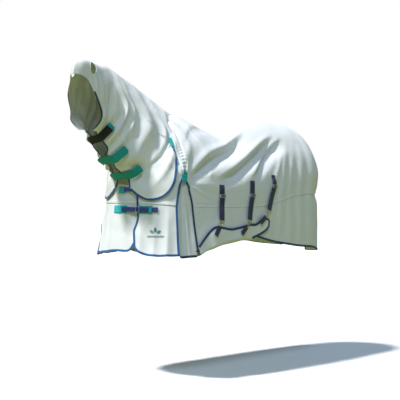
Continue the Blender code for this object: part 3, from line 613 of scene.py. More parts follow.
def cloth(name, grids, nodes=(), finish="mesh_cloth", slot="cloth", skip=None, settle_now=True):
    """One thin closed sheet from grids (rows of points on the inner face, side)."""
    bm = bmesh.new()
    uv = bm.loops.layers.uv.new("UVMap")
    for rows, side in grids:
        middle = rows[len(rows) // 2]
        us = lengths(middle)
        column = len(middle) // 2
        vs = lengths([row[column] for row in rows])
        verts = [[bm.verts.new(row_point(p)) for p in row] for row in rows]
        for i in range(len(rows) - 1):
            for j in range(len(rows[0]) - 1):
                cells = [(i, j), (i, j + 1), (i + 1, j + 1), (i + 1, j)]
                if skip and skip(sum((rows[a][b] for a, b in cells), Vector()) / 4):
                    continue
                if side == FAR:
                    cells = cells[::-1]
                face = bm.faces.new([verts[a][b] for a, b in cells])
                for loop, (a, b) in zip(face.loops, cells):
                    loop[uv].uv = (us[b], vs[a])
    bmesh.ops.remove_doubles(bm, verts=bm.verts, dist=0.0001)
    bmesh.ops.delete(bm, geom=[w for w in bm.verts if not w.link_faces], context="VERTS")
    flat = sum(f.calc_area() for f in bm.faces)
    obj = new_piece(name, mesh_of(bm, name), finish, slot)
    thick = obj.modifiers.new("thickness", "SOLIDIFY")
    thick.thickness = CLOTH
    thick.offset = 1
    plain_mesh(obj)
    obj.data.shade_smooth()
    obj.data.set_sharp_from_angle(angle=math.radians(70))
    areas[name] = flat
    print(f"{name}: {len(obj.data.polygons)} faces, {flat:.3f} square metres")
    return settle(obj, nodes) if settle_now else obj


print("cloth is", CLOTH * 1000, "mm thick")

# %% [markdown]
# ## Tape and webbing
# Bindings, seams and straps are all flat strips with rounded edges.  `strip` sweeps one section
# along a line of points, and `tape` first finds those points on a surface, so that the tape follows
# every fold below it.

# %% Tape
# the section: share of the half width, share of the thickness
SECTION = ((-0.97, 0.0), (0.97, 0.0), (1.0, 0.5), (0.96, 0.92),
           (0.55, 1.0), (-0.55, 1.0), (-0.96, 0.92), (-1.0, 0.5))


def strip(name, points, outs, width, thickness, finish, slot, nodes=()):
    """A flat strip along points, facing outs; width is one number or one for each point."""
    widths = width if isinstance(width, list) else [width] * len(points)
    bm = bmesh.new()
    uv = bm.loops.layers.uv.new("UVMap")
    run = lengths(points)
    rings = []
    for i, p in enumerate(points):
        along = points[min(i + 1, len(points) - 1)] - points[max(i - 1, 0)]
        across = along.cross(outs[i]).normalized()
        out = across.cross(along).normalized()
        half = across * widths[i] / 2
        rings.append([bm.verts.new(row_point(p + half * a + out * thickness * h)) for a, h in SECTION])
    count = len(SECTION)
    offsets = [a * max(widths) / 2 for a, _ in SECTION]
    for i, (a, b) in enumerate(zip(rings, rings[1:])):
        for k in range(count):
            n = (k + 1) % count
            face = bm.faces.new((a[k], a[n], b[n], b[k]))
            for loop, (r, c) in zip(face.loops, ((i, k), (i, n), (i + 1, n), (i + 1, k))):
                loop[uv].uv = (run[r], offsets[c])
    for ring, r, flip in ((rings[0], 0, True), (rings[-1], len(points) - 1, False)):
        face = bm.faces.new(ring[::-1] if flip else ring)
        for loop in face.loops:
            loop[uv].uv = (run[r], offsets[ring.index(loop.vert)])
    bmesh.ops.recalc_face_normals(bm, faces=bm.faces)
    return settle(new_piece(name, mesh_of(bm, name, 50), finish, slot), nodes)


def tape(name, surface, places, finish, slot, nodes=(), lift=0.0, width=TAPE - 0.003, thickness=TAPE_THICK,
         rises=None):
    """A strip laid along a surface at places; lift is one number or one for each place."""
    lifts = lift if isinstance(lift, list) else [lift] * len(places)
    points = [surface(*place, up) for place, up in zip(places, lifts)]
    outs = [surface(*place, up + 0.01) - p for place, up, p in zip(places, lifts, points)]
    for p, rise in zip(points, rises or []):
        p.z += rise
    strip(name, points, outs, width, thickness, finish, slot, nodes)
    return points, outs


def beside(points, outs, off, lift):
    """A line off metres to the side of a strip's middle, lift metres above it."""
    line = []
    for i, p in enumerate(points):
        along = points[min(i + 1, len(points) - 1)] - points[max(i - 1, 0)]
        across = along.cross(outs[i]).normalized()
        line.append(p + across * off + outs[i].normalized() * lift)
    return line


def side_name(side):
    return "near" if side == NEAR else "far"


print("tape is", TAPE_THICK * 1000, "mm thick")

# %% [markdown]
# ## Stitches
# A sewing machine sets one short thread at each step along a line.  A small Geometry Nodes tree
# does the same: it divides a line into even steps and puts a small ball there, drawn out along the
# line to a thread.  The result is kept as a plain mesh.

# %% The stitching tree
def stitch_tree():
    tree = bpy.data.node_groups.new("run_of_stitches", "GeometryNodeTree")
    face = tree.interface
    face.new_socket("Geometry", in_out="INPUT", socket_type="NodeSocketGeometry")
    for name, value in (("Pitch", 0.007), ("Length", 0.0045), ("Thread", 0.0011)):
        socket = face.new_socket(name, in_out="INPUT", socket_type="NodeSocketFloat")
        socket.default_value = value
    face.new_socket("Finish", in_out="INPUT", socket_type="NodeSocketMaterial")
    face.new_socket("Geometry", in_out="OUTPUT", socket_type="NodeSocketGeometry")
    given = add_node(tree, "NodeGroupInput").outputs
    line = add_node(tree, "GeometryNodeMeshToCurve", {"Mesh": given["Geometry"]})
    even = add_node(tree, "GeometryNodeResampleCurve", {"Curve": line.outputs["Curve"]}, mode="LENGTH")
    feed(tree, even, {"Length": given["Pitch"]})
    ball = add_node(tree, "GeometryNodeMeshIcoSphere", {"Radius": 0.5, "Subdivisions": 1})
    size = add_node(tree, "ShaderNodeCombineXYZ",
                    {"X": given["Length"], "Y": given["Thread"], "Z": given["Thread"]})
    along = add_node(tree, "GeometryNodeInputTangent")
    turn = add_node(tree, "FunctionNodeAlignRotationToVector", {"Vector": along.outputs["Tangent"]}, axis="X")
    place = add_node(tree, "GeometryNodeInstanceOnPoints", {
        "Points": even.outputs["Curve"], "Instance": ball.outputs["Mesh"],
        "Rotation": turn.outputs["Rotation"], "Scale": size.outputs["Vector"]})
    real = add_node(tree, "GeometryNodeRealizeInstances", {"Geometry": place.outputs["Instances"]})
    paint = add_node(tree, "GeometryNodeSetMaterial",
                     {"Geometry": real.outputs["Geometry"], "Material": given["Finish"]})
    add_node(tree, "NodeGroupOutput", {"Geometry": paint.outputs["Geometry"]})
    return tree


stitching = stitch_tree()
BALL_FACES = 20
FINE = {"pitch": 0.006, "length": 0.0045}
LONG = {"pitch": 0.010, "length": 0.0072}


def stitches(name, lines, finish, slot, pitch=0.009, length=0.0065, thread=0.0014):
    """Sewn threads along each line of points."""
    verts, edges = [], []
    for points in lines:
        start = len(verts)
        verts += [row_point(p) for p in points]
        edges += [(start + i, start + i + 1) for i in range(len(points) - 1)]
    mesh = bpy.data.meshes.new(name)
    mesh.from_pydata(verts, edges, [])
    obj = bpy.data.objects.new(name, mesh)
    bpy.context.collection.objects.link(obj)
    run = obj.modifiers.new("stitches", "NODES")
    run.node_group = stitching
    sockets = {item.name: item.identifier for item in stitching.interface.items_tree if item.in_out == "INPUT"}
    values = {"Pitch": pitch, "Length": length, "Thread": thread, "Finish": materials[finish]}
    for name_of_input, value in values.items():
        run[sockets[name_of_input]] = value
    plain_mesh(obj)
    obj.data.name = name
    obj.data.shade_smooth()
    obj["slot"] = slot
    print(f"{name}: {len(obj.data.polygons) // BALL_FACES} stitches")
    return settle(obj)


print("stitching tree has", len(stitching.nodes), "nodes")

# %% [markdown]
# ## Weaves
# The rug is woven and sewn, so three small shader groups carry most of the look.  One is an open
# mesh of fine threads, one is the ribs of tape and webbing, and one is a slow drift of tone that
# keeps a large panel from looking painted.  Each gives only values that change over the surface.

# %% Shader groups
def new_group(name, inputs, outputs):
    tree = bpy.data.node_groups.new(name, "ShaderNodeTree")
    for socket, kind, value in inputs:
        made = tree.interface.new_socket(socket, in_out="INPUT", socket_type=kind)
        if value is not None:
            made.default_value = value
    for socket, kind in outputs:
        tree.interface.new_socket(socket, in_out="OUTPUT", socket_type=kind)
    return tree, add_node(tree, "NodeGroupInput").outputs, add_node(tree, "NodeGroupOutput")


def value_node(tree, operation, *given):
    """A Math node, fed with numbers or sockets in order."""
    node = add_node(tree, "ShaderNodeMath", operation=operation)
    feed(tree, node, dict(enumerate(given)))
    return node.outputs[0]


def weave_group():
    """Crossing threads: Height is 1 on a thread and 0 in the hole between."""
    tree, given, result = new_group(
        "woven_mesh", [("Vector", "NodeSocketVector", None), ("Pitch", "NodeSocketFloat", 0.0022)],
        [("Height", "NodeSocketFloat"), ("Hole", "NodeSocketFloat")])
    parts = add_node(tree, "ShaderNodeSeparateXYZ", {0: given["Vector"]})
    turns = value_node(tree, "DIVIDE", math.pi, given["Pitch"])
    threads = []
    for axis in "XY":
        turned = value_node(tree, "MULTIPLY", parts.outputs[axis], turns)
        wave = value_node(tree, "ABSOLUTE", value_node(tree, "COSINE", turned))
        threads.append(value_node(tree, "POWER", wave, 2.0))
    high = value_node(tree, "MAXIMUM", *threads)
    feed(tree, result, {"Height": high, "Hole": value_node(tree, "SUBTRACT", 1.0, high)})
    return tree


def rib_group():
    """Ribs of narrow woven tape: a herringbone of short slanted ridges."""
    tree, given, result = new_group(
        "woven_ribs", [("Vector", "NodeSocketVector", None), ("Pitch", "NodeSocketFloat", 0.0024),
                       ("Row", "NodeSocketFloat", 0.006)],
        [("Height", "NodeSocketFloat")])
    parts = add_node(tree, "ShaderNodeSeparateXYZ", {0: given["Vector"]})
    zigzag = value_node(tree, "PINGPONG", parts.outputs["Y"], given["Row"])
    slanted = value_node(tree, "ADD", parts.outputs["X"], zigzag)
    turns = value_node(tree, "DIVIDE", 2 * math.pi, given["Pitch"])
    wave = value_node(tree, "SINE", value_node(tree, "MULTIPLY", slanted, turns))
    feed(tree, result, {"Height": value_node(tree, "MULTIPLY_ADD", wave, 0.5, 0.5)})
    return tree


def drift_group():
    """A slow drift of tone, as on washed cloth, and a finer mottle."""
    tree, given, result = new_group(
        "drift", [("Vector", "NodeSocketVector", None), ("Light", "NodeSocketColor", (1, 1, 1, 1)),
                  ("Dark", "NodeSocketColor", (0.5, 0.5, 0.5, 1)), ("Scale", "NodeSocketFloat", 3.0)],
        [("Color", "NodeSocketColor"), ("Mottle", "NodeSocketFloat")])
    cloud = add_node(tree, "ShaderNodeTexNoise",
                     {"Vector": given["Vector"], "Scale": given["Scale"], "Detail": 5})
    spread = add_node(tree, "ShaderNodeMapRange",
                      {"Value": cloud.outputs["Fac"], "From Min": 0.3, "From Max": 0.7})
    blend = add_node(tree, "ShaderNodeMix", data_type="RGBA")
    feed(tree, blend, {"Factor": spread.outputs["Result"], "A": given["Dark"], "B": given["Light"]})
    feed(tree, result, {"Color": blend.outputs["Result"], "Mottle": spread.outputs["Result"]})
    return tree


weave, ribs, drift = weave_group(), rib_group(), drift_group()
print("groups:", weave.name, ribs.name, drift.name)

# %% [markdown]
# ## Finishes
# Every finish starts from one Principled shader.  What is the same all over is set on the shader
# itself, and a group feeds it what changes.  Cloth is rough with a little sheen and painted shade in
# the holes of its mesh; webbing is the same with painted shade in its grooves; the wire fittings are
# metal whose gloss varies a little.

# %% Materials
def start_material(name, roughness, metallic=0.0, sheen=0.0):
    material = bpy.data.materials.new(name)
    material.use_nodes = True
    materials[name] = material
    tree = material.node_tree
    shader = tree.nodes["Principled BSDF"]
    feed(tree, shader, {"Roughness": roughness, "Metallic": metallic, "Sheen Weight": sheen,
                        "Sheen Roughness": 0.5})
    return tree, shader, add_node(tree, "ShaderNodeTexCoord").outputs


def add_group(tree, group, vector, **values):
    node = add_node(tree, "ShaderNodeGroup", node_tree=group)
    feed(tree, node, {"Vector": vector, **values})
    return node.outputs


def add_tone(tree, place, light, dark, scale):
    """The drift of tone between two colours."""
    return add_group(tree, drift, place["Object"], Light=(*light, 1), Dark=(*dark, 1), Scale=scale)


def add_painted_shade(tree, shader, colour, painted_shade, share):
    """The colour, darkened by painted shade as far as share says."""
    mixed = add_node(tree, "ShaderNodeMix", data_type="RGBA", blend_type="MULTIPLY")
    feed(tree, mixed, {"Factor": share, "A": colour, "B": painted_shade})
    feed(tree, shader, {"Base Color": mixed.outputs["Result"]})


def add_bump(tree, shader, height, strength, distance):
    bump = add_node(tree, "ShaderNodeBump", {"Strength": strength, "Distance": distance, "Height": height})
    feed(tree, shader, {"Normal": bump.outputs["Normal"]})


def mesh_cloth(name, light, dark, pitch, sheen=0.15):
    """Fine open mesh: pale threads with painted shade in the small holes between them, a little sheen."""
    tree, shader, place = start_material(name, 0.8, sheen=sheen)
    mesh = add_group(tree, weave, place["UV"], Pitch=pitch)
    tone = add_tone(tree, place, light, dark, 2.5)
    # painted shade: the holes between the threads are darkened towards grey
    add_painted_shade(tree, shader, tone["Color"], (0.72, 0.74, 0.76, 1), value_node(tree, "MULTIPLY", mesh["Hole"], 0.55))
    add_bump(tree, shader, mesh["Height"], 0.5, 0.0006)


def ribbed(name, light, dark, pitch, row, roughness=0.75, sheen=0.25, depth=0.0006):
    """Woven tape or webbing: slanted ribs with painted shade in the grooves between them."""
    tree, shader, place = start_material(name, roughness, sheen=sheen)
    rib = add_group(tree, ribs, place["UV"], Pitch=pitch, Row=row)
    tone = add_tone(tree, place, light, dark, 14.0)
    # painted shade: the grooves between the ribs are darkened
    groove = value_node(tree, "SUBTRACT", 1.0, rib["Height"])
    add_painted_shade(tree, shader, tone["Color"], (0.45, 0.45, 0.5, 1), value_node(tree, "MULTIPLY", groove, 0.6))
    add_bump(tree, shader, rib["Height"], 0.6, depth)


def metal(name, light, dark, roughness):
    """Cast or drawn metal with a fine mottle in colour and gloss."""
    tree, shader, place = start_material(name, roughness, metallic=1.0)
    tone = add_tone(tree, place, light, dark, 60.0)
    rough = add_node(tree, "ShaderNodeMapRange",
                     {"Value": tone["Mottle"], "To Min": roughness + 0.12, "To Max": roughness - 0.05})
    feed(tree, shader, {"Base Color": tone["Color"], "Roughness": rough.outputs["Result"]})
    add_bump(tree, shader, tone["Mottle"], 0.15, 0.0002)


mesh_cloth("mesh_cloth", (0.90, 0.915, 0.93), (0.84, 0.86, 0.88), 0.0024)
# this finish is the body's cloth painted whiter, a painted highlight for the seam's raised band where it catches
# the light from above
mesh_cloth("painted_highlight_seam_cloth", (0.97, 0.975, 0.98), (0.93, 0.94, 0.95), 0.0020)
mesh_cloth("hood_cloth", (0.91, 0.92, 0.93), (0.86, 0.875, 0.89), 0.0014)
# one blue tape binds every edge; the next two finishes are lit and shaded copies of it: the first painted lighter,
# as if in sunlight, the second painted darker, as if in shade
ribbed("binding_tape_painted_lit", (0.018, 0.150, 0.40), (0.012, 0.110, 0.31), 0.0026, 0.0050)
ribbed("binding_tape_painted_shade", (0.010, 0.060, 0.135), (0.006, 0.038, 0.095), 0.0026, 0.0050)
ribbed("navy_webbing", (0.012, 0.022, 0.085), (0.008, 0.014, 0.055), 0.0034, 0.0110, depth=0.0010)
ribbed("violet_webbing", (0.070, 0.110, 0.400), (0.045, 0.070, 0.290), 0.0030, 0.0070, depth=0.0008)
ribbed("teal_cloth", (0.0, 0.46, 0.46), (0.0, 0.39, 0.385), 0.0016, 0.0016, sheen=0.10, depth=0.0003)
ribbed("turquoise_cloth", (0.01, 0.66, 0.72), (0.01, 0.56, 0.62), 0.0016, 0.0016, sheen=0.15, depth=0.0003)
ribbed("black_loop", (0.018, 0.018, 0.020), (0.008, 0.008, 0.010), 0.0014, 0.0007, roughness=0.95, depth=0.0008)
ribbed("white_thread", (0.86, 0.87, 0.88), (0.78, 0.79, 0.80), 0.0010, 0.0020)
ribbed("blue_thread", (0.03, 0.13, 0.42), (0.02, 0.09, 0.32), 0.0010, 0.0020)
ribbed("grey_thread", (0.20, 0.24, 0.27), (0.14, 0.17, 0.20), 0.0010, 0.0020)
ribbed("teal_thread", (0.01, 0.42, 0.38), (0.0, 0.34, 0.31), 0.0010, 0.0020)
metal("satin_steel", (0.66, 0.67, 0.68), (0.50, 0.51, 0.52), 0.32)
metal("pale_brass", (0.80, 0.70, 0.46), (0.62, 0.52, 0.32), 0.34)
print(len(materials), "finishes")

# %% [markdown]
# ## The body panels
# A rug is cut as a long upper body, which runs over the back from one side seam to the other, and
# lower panels that drop from the seam to the hem.  The upper body is one sheet here too.  Its
# grid stops short of the gusset on both sides, and a piece is left out under the tail flap.

# %% Upper body
UPPER_ROWS, SEAM_ROWS, LOWER_ROWS = 64, 16, 30


def side_edge(side, z=1.5):
    """Station of the front edge at height z: the far side laps under the near side."""
    lean = 0.06 * (1 - ease(0.94, 1.07, z))
    return OPENING - lean if side == NEAR else -OPENING - 0.05 + lean


def lap(side, q):
    """The far front runs inside the near front where they lap."""
    return -0.009 * (1 - ease(-0.16, -0.02, q)) if side == FAR else 0.0


def edge_shift(side, q, low):
    """The hem's climb to the front opening."""
    if q > 0.6:
        return 0.0
    if side == NEAR:
        return 0.062 * math.exp(-abs(q - side_edge(side, hem(q))) / 0.060) * low
    return 0.068 * math.exp(-max(q + side_edge(NEAR, hem(q)), 0) / 0.035) * low


def mid_height(q):
    return mix(1.235, GUSSET_TOP, ease(-0.2, GUSSET, q)) if q < GUSSET else GUSSET_TOP


def upper_levels(q):
    middle = level(q, mid_height(q))
    seam = level(q, seam_line(abs(q)))
    return steps(top_level(q), middle, UPPER_ROWS) + steps(middle, seam, SEAM_ROWS)[1:]


def upper_body():
    grids = []
    for side in (NEAR, FAR):
        start = side_edge(side) + TAPE_Q * 0.4
        rows = [[] for _ in range(UPPER_ROWS + SEAM_ROWS + 1)]
        for u in steps(0, 1, 44):
            q0 = mix(start, GUSSET, u)
            for row, v in zip(rows, upper_levels(q0)):
                below = GUSSET_TOP - body_base(side, q0, v).z
                end = GUSSET
                if below > 0.0005:
                    end = gusset_front(GUSSET_TOP - below) - TAPE_Q * 0.5 * ease(0.0, 0.03, below)
                q = mix(start, end, u)
                row.append(body(side, q, v, lap(side, q)))
        grids.append((rows, side))
        stations = steps(GUSSET, WITHERS - 0.02, 16) + steps(WITHERS - 0.02, 2, 92)[1:]
        stations += steps(2, REAR_EDGE, 34)[1:] + steps(REAR_EDGE, 3.0, 8)[1:]
        rows = [[] for _ in range(UPPER_ROWS + SEAM_ROWS + 1)]
        for q in stations:
            for row, v in zip(rows, upper_levels(q)):
                below = GUSSET_TOP - body_base(side, q, v).z
                shift = 0.0
                if below > 0.0005:
                    shift = gusset_rear(GUSSET_TOP - below) - GUSSET + TAPE_Q * 0.45 * ease(0.0, 0.03, below)
                row.append(body(side, q + shift * (1 - ease(GUSSET, GUSSET + 0.45, q)), v))
        grids.append((rows, side))
    rear_y = abs(body_base(NEAR, REAR_EDGE, 1.0).y)

    def below_flap(p):
        return p.x > REAR_WIDE[0] and abs(p.y) < rear_y and p.z < FLAP_TOP

    return cloth("upper_body_cloth", grids, ["upper_body_near", "upper_body_far"], skip=below_flap)


upper_body()

# %% [markdown]
# ## Lower panels
# A front panel, a side panel and a gusset hang on each side.  The panels tuck under the upper body
# at the seam, as they are sewn.  The gusset is a pleat that lets the foreleg move, so it hangs a
# little inside the panels.

# %% Lower panels
def lower_levels(q):
    seam = level(q, seam_line(abs(q)) + 0.008)
    return steps(seam, level(q, hem(q) + 0.006), LOWER_ROWS)


def front_panel(side):
    rows = [[] for _ in range(LOWER_ROWS + 1)]
    for u in steps(0, 1, 46):
        q0 = mix(side_edge(side), GUSSET, u)
        for k, (row, v) in enumerate(zip(rows, lower_levels(q0))):
            z = body_base(side, q0, v).z
            start = side_edge(side, z) + TAPE_Q * 0.4
            q = mix(start, gusset_front(z, side) - TAPE_Q * 0.5 * ease(0.0, 0.06, GUSSET_TOP - z), u)
            tuck = -0.0016 * (1 - ease(0, 3, k))
            p = body(side, q, v, lap(side, q) + tuck)
            p.z += edge_shift(side, q, (k / LOWER_ROWS) ** 2)
            row.append(p)
    name = side_name(side)
    return cloth("front_panel_cloth_" + name, [(rows, side)], ["front_panel_" + name])


def side_panel(side):
    stations = steps(GUSSET, WITHERS, 12) + steps(WITHERS, 2, 84)[1:] + steps(2, REAR_EDGE + 0.02, 36)[1:]
    rows = [[] for _ in range(LOWER_ROWS + 1)]
    for q in stations:
        for k, (row, v) in enumerate(zip(rows, lower_levels(q))):
            shift = (GUSSET_REAR + TAPE_Q * 0.45) * (1 - ease(GUSSET, GUSSET + 0.45, q))
            tuck = -0.0016 * (1 - ease(0, 3, k))
            p = body(side, q + shift, v, tuck)
            p.z += rear_rise(side, q) * (k / LOWER_ROWS) ** 2
            row.append(p)
    name = side_name(side)
    return cloth("lower_side_cloth_" + name, [(rows, side)], ["lower_side_" + name])


GUSSET_CLOTH_TOP, GUSSET_DROP = GUSSET_TOP - 0.02, 0.485


def gusset_depth(u, z):
    """The pleat folds inwards, with its deepest line behind the middle."""
    wave = 0.006 * math.sin(3 * math.pi * u + 2.2 * z) * ease(0.02, 0.2, GUSSET_TOP - z)
    fold = 0.012 * math.exp(-((u - 0.42 - 0.25 * (1.2 - z)) / 0.09) ** 2) * ease(0.05, 0.2, GUSSET_TOP - z)
    return -0.005 - 0.016 * math.sin(math.pi * u) + wave - fold * (1 - ease(0.35, 0.50, GUSSET_TOP - z) * 0.7)


def gusset_panel(side):
    rows = []
    for z in steps(GUSSET_CLOTH_TOP, GUSSET_CLOTH_TOP - GUSSET_DROP, 48):
        row = []
        for u in steps(0, 1, 24):
            q = mix(gusset_front(z, side) - 0.012, gusset_rear(z) + 0.022, u)
            row.append(body(side, q, level(q, z), gusset_depth(u, z)))
        rows.append(row)
    name = side_name(side)
    return cloth("gusset_cloth_" + name, [(rows, side)], ["gusset_" + name])


for make_panel in (front_panel, side_panel, gusset_panel):
    for side in (NEAR, FAR):
        make_panel(side)

# %% [markdown]
# ## Bindings of the body
# Every raw edge is wrapped in folded tape.  One tape runs down the front opening, round the
# corner, along the hem and up to the gusset's point; another goes down the gusset's rear edge,
# along the flank's hem and up the rear edge.  The first is painted lighter as if lit and the second
# painted darker as if in shade, though both are one blue tape.

# %% Body bindings
def front_point(side, q, z, lift=0.0):
    return body_at(side, q, z, lift + lap(side, q))


def front_binding(side):
    edge = side_edge(side) + TAPE_Q / 2
    top = body_base(side, edge, top_level(edge)).z
    bottom = hem(edge) + TAPE / 2
    stops = [(side_edge(side, z) + TAPE_Q / 2, z) for z in steps(top, bottom + 0.02, 60)]
    rises = [edge_shift(side, q, ease(1.15, bottom, z) ** 2) for q, z in stops]
    corner = stops[-1][0]
    low = [(q, hem(q) + TAPE / 2) for q in steps(corner + 0.004, gusset_front(0.82, side) - TAPE_Q / 2, 60)]
    rises += [edge_shift(side, q, 1.0) for q, _ in low]
    climb = []
    for z in steps(bottom + 0.01, GUSSET_TOP - 0.006, 60):
        climb.append((gusset_front(z, side) - TAPE_Q / 2 * ease(0.0, 0.06, GUSSET_TOP - z) - 0.004, z))
    rises += [0.0] * len(climb)
    places = [(side, q, z) for q, z in stops + low + climb]
    name = side_name(side)
    return tape("front_tape_" + name, front_point, places, "binding_tape_painted_lit", "binding",
                ["front_binding_" + name], lift=-0.0008, rises=rises)


def side_binding(side):
    down = [(gusset_rear(z) + TAPE_Q * 0.45 * ease(0.0, 0.06, GUSSET_TOP - z) + 0.004, z)
            for z in steps(GUSSET_TOP - 0.006, 0.845, 60)]
    stations = steps(0.985, 2, 110) + steps(2, REAR_EDGE + 0.03, 40)[1:]
    low = [(q, hem(q) + TAPE / 2) for q in stations]
    up = [(REAR_EDGE + 0.03, z) for z in steps(0.80, FLAP_TOP - 0.06, 60)]
    places = [(side, q, z) for q, z in down + low + up]
    rises = [0.0] * len(down) + [rear_rise(side, q) for q, _ in low]
    rises += [rear_rise(side, 3.0) * (1 - ease(0.80, 1.15, z)) for _, z in up]
    name = side_name(side)
    return tape("side_tape_" + name, body_at, places, "binding_tape_painted_shade", "binding",
                ["side_binding_" + name], lift=-0.0008, rises=rises)


def gusset_hem(side):
    places = []
    for u in steps(0, 1, 24):
        z = GUSSET_CLOTH_TOP - GUSSET_DROP - 0.002
        q = mix(gusset_front(z, side) - 0.010, gusset_rear(z) + 0.020, u)
        places.append((side, q, z, gusset_depth(u, z) - 0.0014))
    name = side_name(side)
    points = [body_at(*place) for place in places]
    outs = [body_at(*place[:3], place[3] + 0.01) - p for place, p in zip(places, points)]
    strip("gusset_hem_tape_" + name, points, outs, 0.016, TAPE_THICK, "binding_tape_painted_shade", "binding",
          ["gusset_hem_binding_" + name])


for side in (NEAR, FAR):
    sewn = [front_binding(side), side_binding(side)]
    gusset_hem(side)
    lines = [beside(points, outs, off, TAPE_THICK) for points, outs in sewn for off in (-0.0055, 0.0055)]
    stitches("binding_stitches_" + side_name(side), lines, "blue_thread", "binding")

# %% [markdown]
# ## Side seams
# The upper body and the lower panels meet in a flat seam, which shows as a narrow raised band with
# two rows of white stitches.  The gusset interrupts it, so it is made in two runs on each side.

# %% Side seams
def side_seam(side):
    """The flat seam between the upper body and the lower panels, sewn twice."""
    runs = []
    front = [(side, q, seam_line(abs(q))) for q in steps(side_edge(side) + TAPE_Q, gusset_front(1.13) - TAPE_Q, 40)]
    rear = [(side, q, seam_line(abs(q))) for q in steps(gusset_rear(1.13) + TAPE_Q, REAR_EDGE - 0.02, 110)]
    for part, places in (("front", front), ("flank", rear)):
        surface = front_point if part == "front" else body_at
        name = f"seam_{part}_{side_name(side)}"
        # the band is painted whiter than the cloth, a painted highlight where it catches the light
        runs.append(tape(name, surface, places, "painted_highlight_seam_cloth", "cloth", lift=CLOTH * 0.8, width=0.014,
                         thickness=0.0022))
    lines = [beside(points, outs, off, 0.0022) for points, outs in runs for off in (-0.0045, 0.0045)]
    stitches("seam_stitches_" + side_name(side), lines, "white_thread", "cloth", **LONG)


for side in (NEAR, FAR):
    side_seam(side)

# %% [markdown]
# ## The tail flap
# A rounded flap hangs over the tail from the croup.  It is sewn along its top and stands off the
# cloth below, so it is one curved sheet with a bound lower edge.

# %% Tail flap
FLAP_LOW = 1.172


def flap_point(across, down, lift=0.0):
    """across runs from -1, near, to 1, far; down from 0, the sewn top, to 1."""
    side = NEAR if across <= 0 else FAR
    half = mix(0.27, 0.275, down) * (1 - 0.22 * ease(0.72, 1.0, down) ** 2)
    q = 3.0 - half * abs(across)
    z = mix(FLAP_TOP + 0.028, FLAP_LOW + 0.030 * across * across, down)
    bulge = 0.006 + 0.030 * math.sin(math.pi * min(down, 1.0) ** 0.9) * (1 - 0.35 * across * across)
    ripple = 0.005 * math.sin(5.5 * across + 1.0) * ease(0.2, 1.0, down)
    return body_at(side, q, z, bulge + ripple + lift)


def tail_flap():
    rows = [[flap_point(a, d) for a in steps(-1, 1, 52)] for d in steps(0, 1, 48)]
    cloth("tail_flap_cloth", [(rows, NEAR)], ["tail_flap"])
    rim = [(-0.985, d) for d in steps(0.02, 0.985, 40)] + [(a, 0.985) for a in steps(-0.97, 0.97, 48)]
    rim += [(0.985, d) for d in steps(0.985, 0.02, 40)]
    points, outs = tape("tail_flap_tape", flap_point, rim, "binding_tape_painted_shade", "binding", lift=-0.0008, width=0.013,
                        thickness=0.0028)
    top = [flap_point(a, 0.02, 0.0018) for a in steps(-0.95, 0.95, 40)]
    stitches("tail_flap_stitches", [beside(points, outs, 0.0035, 0.0028), top], "blue_thread", "binding")


tail_flap()

# %% [markdown]
# ## The neck cover
# Two halves are sewn together along the crest.  Each hangs down its side of the neck to the front
# edge, where straps close it, and ends in a rounded lobe over the shoulder.  s runs along the
# neck: 0 at the hood's seam, 1 at the lobe's edge.  t runs round it: 0 on the crest, 1 under the
# throat.  The cover is much looser than the body, so its folds are deeper: pinched ridges that
# leave the crest, swing back and return to the straps.

# %% Neck outline
CREST_X = Smooth((0.0, -0.570), (0.17, -0.470), (0.38, -0.350), (0.56, -0.240), (0.76, -0.110),
                 (0.86, -0.045), (1.0, 0.045))
CREST_Z = Smooth((0.0, 2.030), (0.17, 1.982), (0.38, 1.925), (0.56, 1.866), (0.76, 1.798),
                 (0.86, 1.757), (1.0, 1.728))
THROAT_X = Smooth((0.0, -0.658), (0.1, -0.620), (0.3, -0.552), (0.5, -0.504), (0.78, -0.440), (1.0, -0.395))
THROAT_Z = Smooth((0.0, 1.612), (0.1, 1.566), (0.3, 1.466), (0.5, 1.410), (0.78, 1.335), (1.0, 1.288))
neck_width = Smooth((0.0, 0.100), (0.3, 0.128), (0.6, 0.165), (1.0, 0.235))
throat_gap = Smooth((0.0, 0.028), (0.09, 0.016), (0.21, 0.046), (0.34, 0.014), (0.455, 0.044), (0.58, 0.014),
                    (0.80, 0.040), (1.0, 0.040))
LOBE_START = 0.42
root_station = Smooth((LOBE_START, TAB), (0.62, 0.55), (0.82, 0.27), (1.0, 0.09))
root_height = Smooth((LOBE_START, TAB_HEIGHT), (0.62, 1.425), (0.82, 1.345), (1.0, 1.290))
LOBE = ((LOBE_START, 0.79, 1.530), (0.47, 0.803, 1.470), (0.53, 0.790, 1.405), (0.59, 0.755, 1.335),
        (0.66, 0.705, 1.265), (0.73, 0.620, 1.210), (0.80, 0.520, 1.180), (0.86, 0.410, 1.170),
        (0.91, 0.310, 1.182), (0.95, 0.215, 1.210), (0.98, 0.135, 1.245), (1.0, 0.09, 1.283))
lobe_station = Smooth(*[(row[0], row[1]) for row in LOBE])
lobe_height = Smooth(*[(row[0], row[2]) for row in LOBE])
HEAD_TURN = math.radians(25)


def lap_lift(t):
    """The cover laps over the body: closely at the seam, loosely at the lobe."""
    return mix(0.0032, 0.010, ease(LOBE_START - 0.02, LOBE_START + 0.08, t))


